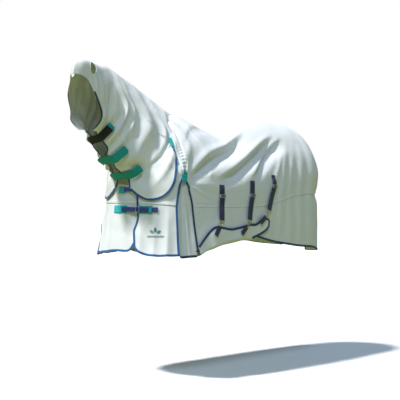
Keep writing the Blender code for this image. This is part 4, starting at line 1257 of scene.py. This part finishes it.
def neck_base(side, run, t):
    run = min(run, 1.0)
    crest = Vector((CREST_X(run), 0, CREST_Z(run)))
    throat = Vector((THROAT_X(run), 0, THROAT_Z(run)))
    turn = math.pi * t
    down = (1 - math.cos(turn)) / 2
    width = neck_width(run) * math.sin(turn) ** 0.85 * (0.86 + 0.22 * t) + throat_gap(run) * t ** 5
    yaw = HEAD_TURN * 0.75 * (1 - ease(0.0, 0.45, run))
    left = Vector((math.sin(yaw), -math.cos(yaw), 0))
    tube = crest.lerp(throat, down) + left * (-side * width)
    blend = ease(0.45, 1.0, run)
    if blend > 0:
        if t <= LOBE_START:
            q = mix(WITHERS, TAB, t / LOBE_START)
            v = top_level(q - 0.02)
        else:
            q = root_station(t)
            v = level(q, root_height(t))
        tube = tube.lerp(body(side, q, v, lap_lift(t)), blend)
    return tube


def lobe_length(t):
    return 0.0 if t <= LOBE_START else 0.9 * math.sin(math.pi * (t - LOBE_START) / (1 - LOBE_START)) ** 0.7


def neck_even(side, s, t):
    run = s * (1 + lobe_length(t))
    if run <= 1 or t <= LOBE_START:
        return neck_base(side, run, t)
    part = (run - 1) / lobe_length(t)
    q = mix(root_station(t), lobe_station(t), part)
    z = mix(root_height(t), lobe_height(t), part)
    return body_at(side, q, z, lap_lift(t))


print("crest seam from", round(CREST_Z(0), 2), "m down to", round(CREST_Z(1), 2), "m")

# %% [markdown]
# ## The draped neck cover
# The neck's folds fade towards the crest seam, the throat and the seam with the body.  Softer
# slanting folds take over on the lobe, and small rays run out from the end of each strap, where
# the cloth is pulled.

# %% Folds of the neck cover
STRAP_ENDS = ((0.075, 0.68), (0.262, 0.70), (0.405, 0.745))


def neck_fold(side, s, t):
    """How far the neck cover stands off its even shape."""
    here = neck_even(side, s, t)
    run = s * (1 + lobe_length(t))
    fade = ease(0.0, 0.06, t) * mix(0.6, 1.0, ease(0.0, 0.10, s))
    fade *= (1 - 0.6 * ease(0.80, 0.97, t)) * (1 - 0.8 * ease(0.70, 1.0, run))
    out = draped(here, side) * fade
    slanting = pinched((here.x + 0.45 * here.z) / 0.085 + 0.3 * side, 0.35) - 0.3
    out += 0.009 * slanting * ease(0.75, 1.2, run) * (1 - 0.35 * ease(1.0, 1.5, run))
    for a, b in STRAP_ENDS:
        ds, dt = (s - a) * 1.1, (t - b) * 0.55
        distance = math.hypot(ds, dt)
        angle = math.degrees(math.atan2(-dt, ds))
        ray = math.cos(math.radians(angle * 4 + 30))
        out += 0.005 * ray * ease(0.02, 0.07, distance) * (1 - ease(0.08, 0.22, distance))
    return out + 0.0022 * noise.noise(here * 14)


def neck(side, s, t, lift=0.0):
    step = 0.01
    s0, s1 = max(s - step, 0), min(s + step, 1)
    t0, t1 = max(t - step, 0.001), min(t + step, 1)
    out = (neck_even(side, s1, t) - neck_even(side, s0, t)).cross(
        neck_even(side, s, t1) - neck_even(side, s, t0)) * side
    if t < 0.001:
        out.y = 0
    out.normalize()
    return neck_even(side, s, t) + out * (lift + neck_fold(side, s, t))


def neck_cover(side):
    rounds = steps(0.0, LOBE_START, 44) + steps(LOBE_START, 0.985, 76)[1:]
    rows = [[neck(side, s, t) for s in steps(0.0, 1.0, 116)] for t in rounds]
    name = side_name(side)
    return cloth("neck_cover_cloth_" + name, [(rows, -side)], ["neck_cover_" + name])


for side in (NEAR, FAR):
    neck_cover(side)

# %% [markdown]
# ## Neck bindings and seams
# Blue tape, painted lighter as if in sunlight, binds each lobe and each throat edge.  The two halves
# are joined by a flat seam along the crest, and another seam joins them to the body.

# %% Neck bindings and crest seam
for side in (NEAR, FAR):
    name = side_name(side)
    rounds = steps(LOBE_START + 0.03, 0.975, 110)
    lobe = tape("lobe_tape_" + name, neck, [(side, 0.992, t) for t in rounds], "binding_tape_painted_lit", "binding",
                ["lobe_binding_" + name], lift=-0.0006, thickness=0.0026)
    throat = tape("throat_tape_" + name, neck, [(side, s, 0.979) for s in steps(0.0, 0.985, 100)], "binding_tape_painted_lit",
                  "binding", ["throat_binding_" + name], lift=-0.0006, width=0.012, thickness=0.0026)
    lines = [beside(points, outs, off, 0.0026) for points, outs in (lobe, throat) for off in (-0.0042, 0.0042)]
    stitches("neck_stitches_" + name, lines, "blue_thread", "binding")

crest = [(NEAR, s, 0.0) for s in steps(0.004, 1.0, 90)]
points, outs = tape("crest_seam", neck, crest, "mesh_cloth", "cloth", lift=CLOTH * 0.6, width=0.012,
                    thickness=0.0016)
root = [(NEAR, 0.994, t) for t in steps(LOBE_START, 0.0, 44)]
root += [(FAR, 0.994, t) for t in steps(0.0, LOBE_START, 44)[1:]]
root_points, root_outs = tape("neck_root_seam", neck, root, "mesh_cloth", "cloth", lift=CLOTH * 0.8, width=0.011,
                              thickness=0.0014)
lines = [beside(points, outs, off, 0.0016) for off in (-0.004, 0.004)]
lines += [beside(root_points, root_outs, off, 0.0015) for off in (-0.0035, 0.0035)]
stitches("crest_stitches", lines, "white_thread", "cloth", **LONG)

# %% [markdown]
# ## The hood
# Stretch cloth runs over the poll and forehead and down both cheeks.  It is lofted from the neck
# cover's end, where a is 0, to the rim of the face opening, where a is 1.  The head is turned a
# little to the near side, so the hood is laid out along the head's own directions.

# %% Hood
HEAD = Vector((-0.66, 0.0, 0.0))
HEAD_AHEAD = Vector((-math.cos(HEAD_TURN), -math.sin(HEAD_TURN), 0))
HEAD_LEFT = Vector((math.sin(HEAD_TURN), -math.cos(HEAD_TURN), 0))
# round the face opening: place, ahead of the head's middle, out to the side, height
FACE_EDGE = ((0.0, 0.262, 0.0, 1.950), (0.1, 0.225, 0.035, 1.944), (0.2, 0.175, 0.060, 1.915),
             (0.42, 0.145, 0.090, 1.832), (0.62, 0.080, 0.101, 1.730), (0.78, 0.082, 0.098, 1.672),
             (0.90, 0.076, 0.060, 1.627), (1.0, 0.070, 0.030, 1.612))
face_ahead, face_out, face_height = (Smooth(*[(row[0], row[k]) for row in FACE_EDGE]) for k in (1, 2, 3))


def hood_even(side, a, t):
    """a runs from the neck's seam, 0, to the face opening, 1."""
    edge = HEAD + HEAD_AHEAD * face_ahead(t) - HEAD_LEFT * side * face_out(t)
    edge.z = face_height(t)
    point = neck(side, 0.0, t).lerp(edge, a)
    crown = math.sin(math.pi * a ** 2.0) * (1 - ease(0.05, 0.42, t))
    point += HEAD_AHEAD * (0.045 * crown) + Vector((0, 0, 0.066 * crown))
    sideways = math.sin(math.pi * min(t, 0.95)) * 0.064 * a * (1 - a)
    return point - HEAD_LEFT * side * sideways


def hood(side, a, t, lift=0.0):
    step = 0.02
    t0 = max(t - step, 0.001)
    out = (hood_even(side, min(a + step, 1), t) - hood_even(side, max(a - step, 0), t)).cross(
        hood_even(side, a, min(t + step, 1)) - hood_even(side, a, t0)) * -side
    if t < 0.001:
        out -= HEAD_LEFT * out.dot(HEAD_LEFT)
    crease = 0.0045 * pinched(2.6 * a + 0.8 * t + 0.1 * side, 0.2) * ease(0.25, 0.5, t) * math.sin(math.pi * a)
    here = hood_even(side, a, t)
    crease += 0.45 * draped(here, side) * math.sin(math.pi * a) * ease(0.10, 0.35, t)
    return here + out.normalized() * (lift + crease)


print("face opening from", round(face_height(0), 2), "m down to", round(face_height(1), 2), "m")

# %% [markdown]
# ## The ear holes
# Each ear hole is cut with a Boolean: a cylinder along the ear's direction goes through the cloth.
# Rays shot along the cylinder's wall find where it meets the cloth, and a thin rolled hem is laid
# along these points.

# %% Ear holes
EAR_RADIUS = 0.031


def ear_axis(side):
    """The middle of the ear hole and the direction in which the ear points."""
    centre = HEAD + HEAD_AHEAD * 0.128 - HEAD_LEFT * side * 0.066 + Vector((0, 0, 1.985))
    return row_point(centre), (Vector((0, 0, 0.80)) - HEAD_LEFT * side * 0.60).normalized()


def cut_ear_hole(obj, side):
    centre, axis = ear_axis(side)
    bm = bmesh.new()
    bmesh.ops.create_cone(bm, cap_ends=True, segments=48, radius1=EAR_RADIUS, radius2=EAR_RADIUS, depth=0.20)
    turn = axis.to_track_quat("Z", "Y").to_matrix().to_4x4()
    bmesh.ops.transform(bm, matrix=Matrix.Translation(centre) @ turn, verts=bm.verts)
    cutter = bpy.data.objects.new("ear_cutter", mesh_of(bm, "ear_cutter"))
    bpy.context.collection.objects.link(cutter)
    cut = obj.modifiers.new("ear_hole", "BOOLEAN")
    cut.object = cutter
    plain_mesh(obj)
    bpy.data.objects.remove(cutter)


def tube(bm, path, axes, radius, closed=True, around=8):
    """A round wire along a path; axes gives the two directions across it at a point."""
    count = len(path)
    rings = []
    for i, p in enumerate(path):
        after = path[(i + 1) % count] if closed else path[min(i + 1, count - 1)]
        before = path[i - 1 if closed or i else 0]
        a, b = axes(p, (after - before).normalized())
        turns = [2 * math.pi * k / around for k in range(around)]
        rings.append([bm.verts.new(p + (a * math.cos(w) + b * math.sin(w)) * radius) for w in turns])
    for a, b in zip(rings, rings[1:] + rings[:1] if closed else rings[1:]):
        for k in range(around):
            n = (k + 1) % around
            bm.faces.new((a[k], a[n], b[n], b[k]))
    if not closed:
        bm.faces.new(rings[0][::-1])
        bm.faces.new(rings[-1])


def rolled_hem(name, ring, radius, finish, slot):
    """A closed round hem along a ring of points in the rug's frame."""
    middle = sum(ring, Vector()) / len(ring)

    def axes(p, along):
        up = along.cross((p - middle).normalized()).normalized()
        return up.cross(along), up

    bm = bmesh.new()
    tube(bm, ring, axes, radius)
    bmesh.ops.recalc_face_normals(bm, faces=bm.faces)
    return settle(new_piece(name, mesh_of(bm, name), finish, slot))


def make_hood():
    grids = []
    for side in (NEAR, FAR):
        rounds = steps(0.0, 0.42, 48) + steps(0.42, 0.985, 56)[1:]
        rows = [[hood(side, a, t) for a in steps(0.0, 1.0, 64)] for t in rounds]
        grids.append((rows, side))
    piece = cloth("hood_cloth", grids, finish="hood_cloth", settle_now=False)
    tree = BVHTree.FromPolygons([v.co for v in piece.data.vertices], [p.vertices for p in piece.data.polygons])
    rims = []
    for side in (NEAR, FAR):
        centre, axis = ear_axis(side)
        a = axis.orthogonal().normalized()
        b = axis.cross(a)
        ring = []
        for k in range(48):
            turn = 2 * math.pi * k / 48
            start = centre + axis * 0.12 + (a * math.cos(turn) + b * math.sin(turn)) * EAR_RADIUS
            ring.append(tree.ray_cast(start, -axis)[0])
        rims.append((side, ring))
    for side in (NEAR, FAR):
        cut_ear_hole(piece, side)
    piece.data.shade_smooth()
    piece.data.set_sharp_from_angle(angle=math.radians(70))
    settle(piece, ["hood"])
    for side, ring in rims:
        rolled_hem("ear_hem_" + side_name(side), ring, 0.0024, "white_thread", "cloth")


make_hood()

# %% [markdown]
# ## The face opening
# The brow has a narrow hem of the hood's own cloth, and blue tape, painted darker as if in shade,
# binds each cheek.  A flat seam with two rows of stitches joins the hood to the neck cover.

# %% Face opening and hood seam
def inset(side, t, margin):
    """The place a that lies margin metres short of the face opening."""
    return 1 - margin / (hood(side, 1.0, t) - hood(side, 0.0, t)).length


brow = [(NEAR, t) for t in steps(0.40, 0.0, 40)] + [(FAR, t) for t in steps(0.0, 0.38, 38)[1:]]
brow = [(side, inset(side, t, 0.004), t) for side, t in brow]
tape("brow_hem", hood, brow, "hood_cloth", "cloth", lift=-0.0004, width=0.010, thickness=0.0024)
cheeks = []
for side in (NEAR, FAR):
    cheek = [(side, inset(side, t, 0.005), t) for t in steps(0.39, 0.975, 70)]
    nodes = ["face_binding"] if side == NEAR else []
    cheeks.append(tape("cheek_tape_" + side_name(side), hood, cheek, "binding_tape_painted_shade", "binding", nodes, lift=-0.0006,
                       width=0.013, thickness=0.0026))
lines = [beside(points, outs, off, 0.0026) for points, outs in cheeks for off in (-0.004, 0.004)]
stitches("cheek_stitches", lines, "blue_thread", "binding")

seam = [(NEAR, 0.004, t) for t in steps(0.975, 0.0, 70)] + [(FAR, 0.004, t) for t in steps(0.0, 0.975, 70)[1:]]
points, outs = tape("hood_seam", neck, seam, "hood_cloth", "cloth", lift=CLOTH * 0.6, width=0.010, thickness=0.0013)
stitches("hood_seam_stitches", [beside(points, outs, off, 0.0013) for off in (-0.003, 0.003)], "white_thread",
         "cloth", **LONG)

# %% [markdown]
# ## The belly wrap
# A broad panel comes from the far hem, under the belly and up the near flank, where three hooks
# hold its bound edge.  The edge hangs in shallow scallops between the hooks.

# %% Belly wrap
WRAP_EDGE = ((0.0, 1.000, 0.865), (0.10, 1.050, 0.920), (0.20, 1.100, 0.970), (0.29, 1.145, 0.996),
             (0.38, 1.200, 0.986), (0.48, 1.265, 0.974), (0.58, 1.335, 0.982), (0.70, 1.415, 0.997),
             (0.79, 1.475, 1.000), (0.89, 1.545, 1.040), (1.0, 1.597, 1.022))
WRAP_LOW = ((0.0, 1.005, 0.818), (0.25, 1.10, 0.866), (0.6, 1.26, 0.906), (0.85, 1.38, 0.912), (1.0, 1.43, 0.905))
edge_station, edge_height = (Smooth(*[(row[0], row[k]) for row in WRAP_EDGE]) for k in (1, 2))
low_station, low_height = (Smooth(*[(row[0], row[k]) for row in WRAP_LOW]) for k in (1, 2))
belly_height = Smooth((0.0, 0.795), (0.15, 0.812), (0.35, 0.830), (0.6, 0.852), (0.85, 0.872), (1.0, 0.880))
WRAP_LIFT = 0.008


def wrap_even(u, w, lift=0.0):
    """u runs back along the belly; w goes from the near edge, 0, under it to the far side, 1."""
    q0, z0 = edge_station(u), edge_height(u)
    q1, z1 = low_station(u), low_height(u)
    if w < 0.3:
        part = w / 0.3
        bulge = 0.062 * math.sin(math.pi * part ** 1.3) * u ** 6
        return body_at(NEAR, mix(q0, q1, part) + bulge, mix(z0, z1, part), WRAP_LIFT + lift)
    near = body_at(NEAR, q1, z1, WRAP_LIFT + lift)
    far = body(FAR, mix(1.06, 1.44, u), 2.0, lift) - Vector((0, 0, 0.0024))
    bottom = belly_height(u) - lift
    if w < 0.65:
        share = (w - 0.3) / 0.35
        turn = math.radians(90) * share
        z = near.z - (near.z - bottom) * math.sin(turn) ** 0.8
        return Vector((mix(near.x, mix(near.x, far.x, 0.5), share), near.y * math.cos(turn) ** 0.8, z))
    share = (1 - w) / 0.35
    turn = math.radians(90) * share
    z = far.z - (far.z - bottom) * math.sin(turn) ** 0.8
    return Vector((mix(far.x, mix(near.x, far.x, 0.5), share), far.y * math.cos(turn) ** 0.8, z))


def wrap(u, w, lift=0.0):
    slack = 0.006 * pinched(2.6 * u + 0.25, 0.2) * ease(0.02, 0.12, w) * (1 - ease(0.5, 0.9, w))
    return wrap_even(u, w, lift + slack)


def belly_wrap():
    across = steps(0.0, 0.3, 20) + steps(0.3, 0.65, 30)[1:] + steps(0.65, 1.0, 30)[1:]
    rows = [[wrap(u, w) for u in steps(0, 1, 70)] for w in across]
    cloth("belly_wrap_cloth", [(rows, FAR)], ["belly_wrap"])
    edge = [(u, 0.022) for u in steps(0.004, 0.965, 90)] + [(0.982, 0.030)]
    edge += [(0.988, w) for w in steps(0.045, 0.31, 30)]
    points, outs = tape("wrap_tape", wrap, edge, "binding_tape_painted_shade", "binding", ["wrap_binding"], lift=-0.0008,
                        width=TAPE - 0.002, thickness=0.0032)
    lines = [beside(points, outs, off, 0.0032) for off in (-0.0055, 0.0055)]
    stitches("wrap_stitches", lines, "blue_thread", "binding")


belly_wrap()

# %% [markdown]
# ## Wire fittings
# The sliders, hooks and the buckle are bent from round wire.  Each is a rounded frame, drawn as a
# tube along a closed path, with straight wires across it where a webbing runs over a bar.

# %% Wire fittings
def wire_frame(name, centre, up, out, height, width, wire, finish, slot, nodes=(), bars=(), corner=0.35):
    """A rounded frame of bent wire; bars are the heights of straight wires across it."""
    up = (up - out * up.dot(out)).normalized()
    across = up.cross(out).normalized()
    bm = bmesh.new()

    def axes(p, along):
        return along.cross(out).normalized(), out

    rounded = []
    for k in range(40):
        turn = 2 * math.pi * k / 40
        x = power(math.cos(turn), corner) * (width / 2 - wire)
        z = power(math.sin(turn), corner) * (height / 2 - wire)
        rounded.append(row_point(centre) + across * x + up * z)
    tube(bm, rounded, axes, wire)
    for bar in bars:
        ends = [row_point(centre) + across * x + up * bar for x in steps(-width / 2 + wire, width / 2 - wire, 4)]
        tube(bm, ends, axes, wire, closed=False)
    bmesh.ops.recalc_face_normals(bm, faces=bm.faces)
    return settle(new_piece(name, mesh_of(bm, name), finish, slot), nodes)


print("fittings are bent from round wire")

# %% [markdown]
# ## Belly straps
# Three straps come down the near flank.  Each is a short webbing sewn to the body, a steel slider
# that sets its length, a longer webbing and a brass hook that holds the wrap, with the loose end
# hanging past the hook.

# %% Belly straps
WEBBING = 0.046
BELLY_STRAPS = (  # station and height of: top, slider, lower end, hook, and the loose end's tip
    ("a", (1.218, 1.262), (1.213, 1.189), (1.184, 1.030), (1.170, 1.004), (1.122, 0.934)),
    ("b", (1.454, 1.287), (1.446, 1.189), (1.401, 1.026), (1.388, 0.992), (1.326, 0.936)),
    ("c", (1.647, 1.323), (1.641, 1.246), (1.580, 1.087), (1.560, 1.054), (1.491, 1.003)),
)


def flank_strip(name, a, b, count, lift_a, lift_b, width, nodes, thickness=0.0026):
    places = [(NEAR, mix(a[0], b[0], u), mix(a[1], b[1], u)) for u in steps(0, 1, count)]
    lifts = steps(lift_a, lift_b, count)
    return tape(name, body_at, places, "navy_webbing", "webbing", nodes, lifts, width, thickness)


def crosswise(run, half, rows):
    """Lines of stitches across a webbing, at some of its points."""
    a, b = beside(*run, -half, 0.0028), beside(*run, half, 0.0028)
    return [[a[k], b[k]] for k in rows]


def box_of_stitches(points, outs, i0, i1, half, lift):
    """The sewn box with a cross that holds a strap's end."""
    a, b = beside(points, outs, -half, lift), beside(points, outs, half, lift)
    return [a[i0:i1 + 1], b[i0:i1 + 1], [a[i0], b[i0]], [a[i1], b[i1]], [a[i0], b[i1]], [b[i0], a[i1]]]


def belly_strap(letter, top, slide, low, hook, tip):
    name = "belly_strap_" + letter
    sewn = []
    up = Vector((0, 0, 1))
    upper = flank_strip(name + "_upper_web", top, (slide[0], slide[1] - 0.004), 14, 0.0022, 0.0050, WEBBING,
                        [name + "_upper"])
    sewn += box_of_stitches(*upper, 1, 6, WEBBING * 0.38, 0.0028)
    lower = flank_strip(name + "_lower_web", (slide[0], slide[1] + 0.006), low, 24, 0.0085, 0.0150, WEBBING,
                        [name + "_lower"])
    sewn += [beside(*lower, off, 0.0028)[3:] for off in (-WEBBING * 0.40, WEBBING * 0.40)]
    sewn += crosswise(lower, WEBBING * 0.4, (4, 20, 22))
    out = (body_at(NEAR, *slide, 0.02) - body_at(NEAR, *slide)).normalized()
    wire_frame(name + "_slider_frame", body_at(NEAR, *slide, 0.0125), up, out, 0.024, 0.054, 0.0022,
               "satin_steel", "steel", [name + "_slider"], bars=(0.0,))
    out = (body_at(NEAR, *hook, 0.02) - body_at(NEAR, *hook)).normalized()
    centre = body_at(NEAR, hook[0], hook[1] + 0.004, 0.0205)
    wire_frame(name + "_hook_eye", centre + up * 0.012, up, out, 0.012, 0.042, 0.0020, "pale_brass", "brass")
    wire_frame(name + "_hook_body", centre - up * 0.003, up, out, 0.028, 0.024, 0.0026, "pale_brass", "brass",
               [name + "_hook"], bars=(0.002,), corner=0.8)
    start = (mix(hook[0], tip[0], 0.22), mix(hook[1], tip[1], 0.22))
    tail = flank_strip(name + "_tail_web", start, tip, 12, 0.0170, 0.0215, WEBBING * 0.75, [name + "_tail"])
    return sewn + crosswise(tail, WEBBING * 0.3, (10, 11))


sewn = []
for strap in BELLY_STRAPS:
    sewn += belly_strap(*strap)
stitches("belly_strap_stitches", sewn, "blue_thread", "webbing", **FINE, thread=0.0012)

# %% [markdown]
# ## Chest straps
# The lower chest strap starts under a bright patch on the far side, crosses the opening, passes
# through an oval buckle and a keeper, and ends on the near side.  A second strap sits above it,
# mostly hidden by the neck cover.

# %% Chest straps
CHEST_HEIGHT = 1.108


def chest_point(place, z, lift):
    """place is a station on the near side, or minus a station on the far side."""
    if place >= 0:
        return body_at(NEAR, place, z, lift)
    return body_at(FAR, -place, z, lift)


def chest_strip(name, start, end, z, lift, width, finish, slot, nodes, thickness=0.0020, count=24, drop=0.0):
    places = [(p, z - drop * u) for u, p in zip(steps(0, 1, count), steps(start, end, count))]
    return tape(name, chest_point, places, finish, slot, nodes, lift, width, thickness)


def edge_lines(run, half, lift):
    a, b = beside(*run, -half, lift), beside(*run, half, lift)
    return [a[1:-1], b[1:-1], [a[1], b[1]], [a[-2], b[-2]]]


far_patch = chest_strip("chest_patch_far_cloth", -0.115, 0.080, CHEST_HEIGHT, 0.0030, 0.050, "turquoise_cloth",
                        "turquoise", ["chest_patch_far"])
near_patch = chest_strip("chest_patch_near_cloth", 0.250, 0.425, CHEST_HEIGHT, 0.0030, 0.048, "teal_cloth", "teal",
                         ["chest_patch_near"])
web = chest_strip("chest_web", 0.0, 0.500, CHEST_HEIGHT, 0.0068, 0.030, "violet_webbing", "webbing",
                  ["chest_webbing"], 0.0024, 48)
chest_strip("chest_keeper_loop", 0.382, 0.418, CHEST_HEIGHT, 0.0098, 0.040, "turquoise_cloth", "teal",
            ["chest_keeper"], 0.0022, 8)
out = (chest_point(0.235, CHEST_HEIGHT, 0.03) - chest_point(0.235, CHEST_HEIGHT, 0.0)).normalized()
wire_frame("chest_buckle_frame", chest_point(0.235, CHEST_HEIGHT, 0.0135), Vector((0, 0, 1)), out, 0.046, 0.030,
           0.0026, "satin_steel", "steel", ["chest_buckle"], corner=0.75)
upper_patch = chest_strip("upper_chest_patch_cloth", -0.06, 0.055, 1.232, 0.0030, 0.042, "turquoise_cloth",
                          "turquoise", ["upper_chest_patch"])
chest_strip("upper_chest_web", 0.03, 0.225, 1.236, 0.0058, 0.026, "violet_webbing", "webbing",
            ["upper_chest_webbing"], 0.0024, 16)
lines = edge_lines(far_patch, 0.021, 0.0021) + edge_lines(near_patch, 0.020, 0.0021)
lines += edge_lines(upper_patch, 0.017, 0.0021)
stitches("chest_patch_stitches", lines, "teal_thread", "teal", **FINE, thread=0.0012)
lines = [beside(*web, off, 0.0025)[1:-1] for off in (-0.0125, 0.0125)]
stitches("chest_web_stitches", lines, "blue_thread", "webbing", **FINE, thread=0.0011)

# %% [markdown]
# ## Neck straps
# Hook-and-loop straps close the cover under the throat.  The top one shows its black face and a
# teal end; the lower two are teal.  Their free ends are cut to a blunt point.

# %% Neck straps
NECK_STRAPS = (  # name, width, far end, front, middle and near end, as places on the neck cover
    ("neck_strap_1", 0.054, (0.105, 0.95), (0.090, 0.985), (0.055, 0.90), (0.062, 0.70)),
    ("neck_strap_2", 0.055, (0.36, 0.95), (0.345, 0.985), (0.27, 0.90), (0.245, 0.725)),
    ("neck_strap_3", 0.057, (0.60, 0.955), (0.58, 0.985), (0.475, 0.91), (0.395, 0.765)),
)
STRAP_LIFT = 0.013


def strap_line(far, front, middle, end):
    """Points along a neck strap, and the directions that it faces; past the throat it runs straight."""
    places = [(FAR, mix(far[0], front[0], u), mix(far[1], front[1], u)) for u in steps(0, 1, 10)]
    places += [(NEAR, mix(front[0], middle[0], u), mix(front[1], middle[1], u)) for u in steps(0, 1, 10)]
    points = [neck_even(side, s, t) for side, s, t in places]
    outs = [neck(side, s, t, 0.02) - neck(side, s, t) for side, s, t in places]
    tip = neck_even(NEAR, *end)
    tip_out = neck(NEAR, *end, 0.02) - neck(NEAR, *end)
    start, start_out = points[-1], outs[-1]
    for u in steps(0, 1, 36)[1:]:
        points.append(start.lerp(tip, u))
        outs.append(start_out.lerp(tip_out, u))
    outs = [o.normalized() for o in outs]
    straight = [0.0] * 21 + [0.012 * math.sin(math.pi * u) for u in steps(0, 1, 36)[1:]]
    points = [p + o * (STRAP_LIFT + k) for p, o, k in zip(points, outs, straight)]
    for _ in range(30):
        points = points[:1] + [(a + b * 2 + c) / 4 for a, b, c in zip(points, points[1:], points[2:])] + points[-1:]
        outs = outs[:1] + [(a + b * 2 + c) / 4 for a, b, c in zip(outs, outs[1:], outs[2:])] + outs[-1:]
    return points, outs


def end_cut(points, width, depth, blunt):
    """Widths that narrow to a blunt end over the last depth metres."""
    run = lengths(points)
    return [width * mix(blunt, 1.0, min((run[-1] - d) / depth, 1.0)) for d in run]


lines = []
for name, width, *route in NECK_STRAPS:
    points, outs = strap_line(*route)
    if name == "neck_strap_1":
        cut = int(len(points) * 0.86)
        strip(name + "_loop", points[:cut], outs[:cut], width, 0.0028, "black_loop", "black", [name])
        tail = [p - o.normalized() * 0.0004 for p, o in zip(points[cut - 4:], outs[cut - 4:])]
        strip(name + "_end_cloth", tail, outs[cut - 4:], end_cut(tail, width * 0.99, 0.008, 0.72), 0.0024,
              "teal_cloth", "teal", [name + "_end"])
    else:
        strip(name + "_cloth", points, outs, end_cut(points, width, 0.009, 0.70), 0.0028,
              "teal_cloth", "teal", [name])
        lines += [beside(points, outs, off, 0.0028)[8:-3] for off in (-width * 0.43, width * 0.43)]
stitches("neck_strap_stitches", lines, "teal_thread", "teal", **FINE, thread=0.0011)

# %% [markdown]
# ## Teal tabs
# Small rounded tabs take the strain where the neck seam ends and at the gusset's point.

# %% Teal tabs
def arched(count, width, rounding, both=False):
    """Widths of a tab whose top is round, and its bottom too if both is set."""
    widths = []
    for i in range(count + 1):
        u = i / count
        from_end = min(u, 1 - u) if both else u
        part = min(from_end / rounding, 1.0)
        widths.append(width * math.sqrt(max(1 - (1 - part) ** 2, 0.05)))
    return widths


lines = []
for side in (NEAR, FAR):
    name = side_name(side)
    places = [(side, mix(0.905, 0.884, u), mix(1.358, 1.288, u)) for u in steps(0, 1, 20)]
    run = tape("gusset_tab_cloth_" + name, body_at, places, "teal_cloth", "teal", ["gusset_tab_" + name], 0.0040,
               arched(20, 0.040, 0.30), 0.0024)
    lines += [beside(*run, off, 0.0025)[5:-1] for off in (-0.016, 0.016)]
    places = [(side, mix(0.808, 0.797, u), mix(1.562, 1.504, u)) for u in steps(0, 1, 16)]
    run = tape("neck_tab_cloth_" + name, body_at, places, "teal_cloth", "teal", ["neck_tab_" + name], 0.0150,
               arched(16, 0.026, 0.25, both=True), 0.0024)
    lines += [beside(*run, off, 0.0025)[4:-4] for off in (-0.009, 0.009)]
stitches("tab_stitches", lines, "teal_thread", "teal", **FINE, thread=0.0011)

# %% [markdown]
# ## A sewn motif
# The near front panel carries a small embroidery.  Here it is a plain sprig of three leaves over
# a grey line, sewn in satin stitch, which means short threads laid side by side.

# %% Motif
MOTIF = (0.455, 0.955)


def motif_point(x, z, lift=0.0018):
    """x metres back and z metres up from the motif's middle; a station is half a metre long there."""
    return body_at(NEAR, MOTIF[0] + x / 0.50, MOTIF[1] + z, lift)


leaf_lines = []
for angle in (-58, 0, 58):
    for i in range(16):
        share = (i + 0.5) / 16
        along = 0.010 + 0.034 * share
        half = 0.0080 * math.sin(math.pi * share) + 0.0008
        dx, dz = math.sin(math.radians(angle)), math.cos(math.radians(angle))
        leaf_lines.append([motif_point(dx * along + dz * k, dz * along - dx * k) for k in (-half, half)])
stitches("motif_leaves", leaf_lines, "teal_thread", "teal", pitch=0.0022, length=0.0030, thread=0.0016)
bars = [[motif_point(x, z) for x in steps(-0.055, 0.055, 30)] for z in (-0.010, -0.013, -0.016, -0.019)]
stitches("motif_bar", bars, "grey_thread", "webbing", pitch=0.004, length=0.0036, thread=0.0018)

# %% [markdown]
# ## The cloth's areas
# Each sheet is listed with the size it was cut to, and its area as worn is printed beside it: a cloth
# that hangs in folds keeps its area.

# %% Sheets
SHEETS = (  # cloth, width and length of its cut, its flat area, how it is held, what it hangs on or from
    ("upper_body_cloth", (1.42, 1.95), 2.50, "draped", []),
    ("front_panel_cloth_near", (0.33, 0.33), 0.10, "hung", ["upper_body_cloth"]),
    ("front_panel_cloth_far", (0.50, 0.34), 0.155, "hung", ["upper_body_cloth"]),
    ("lower_side_cloth_near", (0.37, 1.50), 0.48, "hung", ["upper_body_cloth"]),
    ("lower_side_cloth_far", (0.37, 1.50), 0.48, "hung", ["upper_body_cloth"]),
    ("gusset_cloth_near", (0.17, 0.49), 0.065, "hung", ["upper_body_cloth"]),
    ("gusset_cloth_far", (0.25, 0.49), 0.088, "hung", ["upper_body_cloth"]),
    ("tail_flap_cloth", (0.36, 0.29), 0.09, "hung", ["upper_body_cloth"]),
    ("neck_cover_cloth_near", (0.62, 0.80), 0.41, "draped", ["upper_body_cloth"]),
    ("neck_cover_cloth_far", (0.62, 0.80), 0.44, "draped", ["upper_body_cloth"]),
    ("hood_cloth", (0.55, 0.50), 0.20, "stretched", ["neck_cover_cloth_near"]),
    ("belly_wrap_cloth", (0.76, 0.75), 0.46, "hung", ["lower_side_cloth_far"]),
)
for name, flat, area, held, rests_on in SHEETS:
    print(f"{name}: cut area {area:.3f}, area as worn {areas[name]:.3f} square metres")
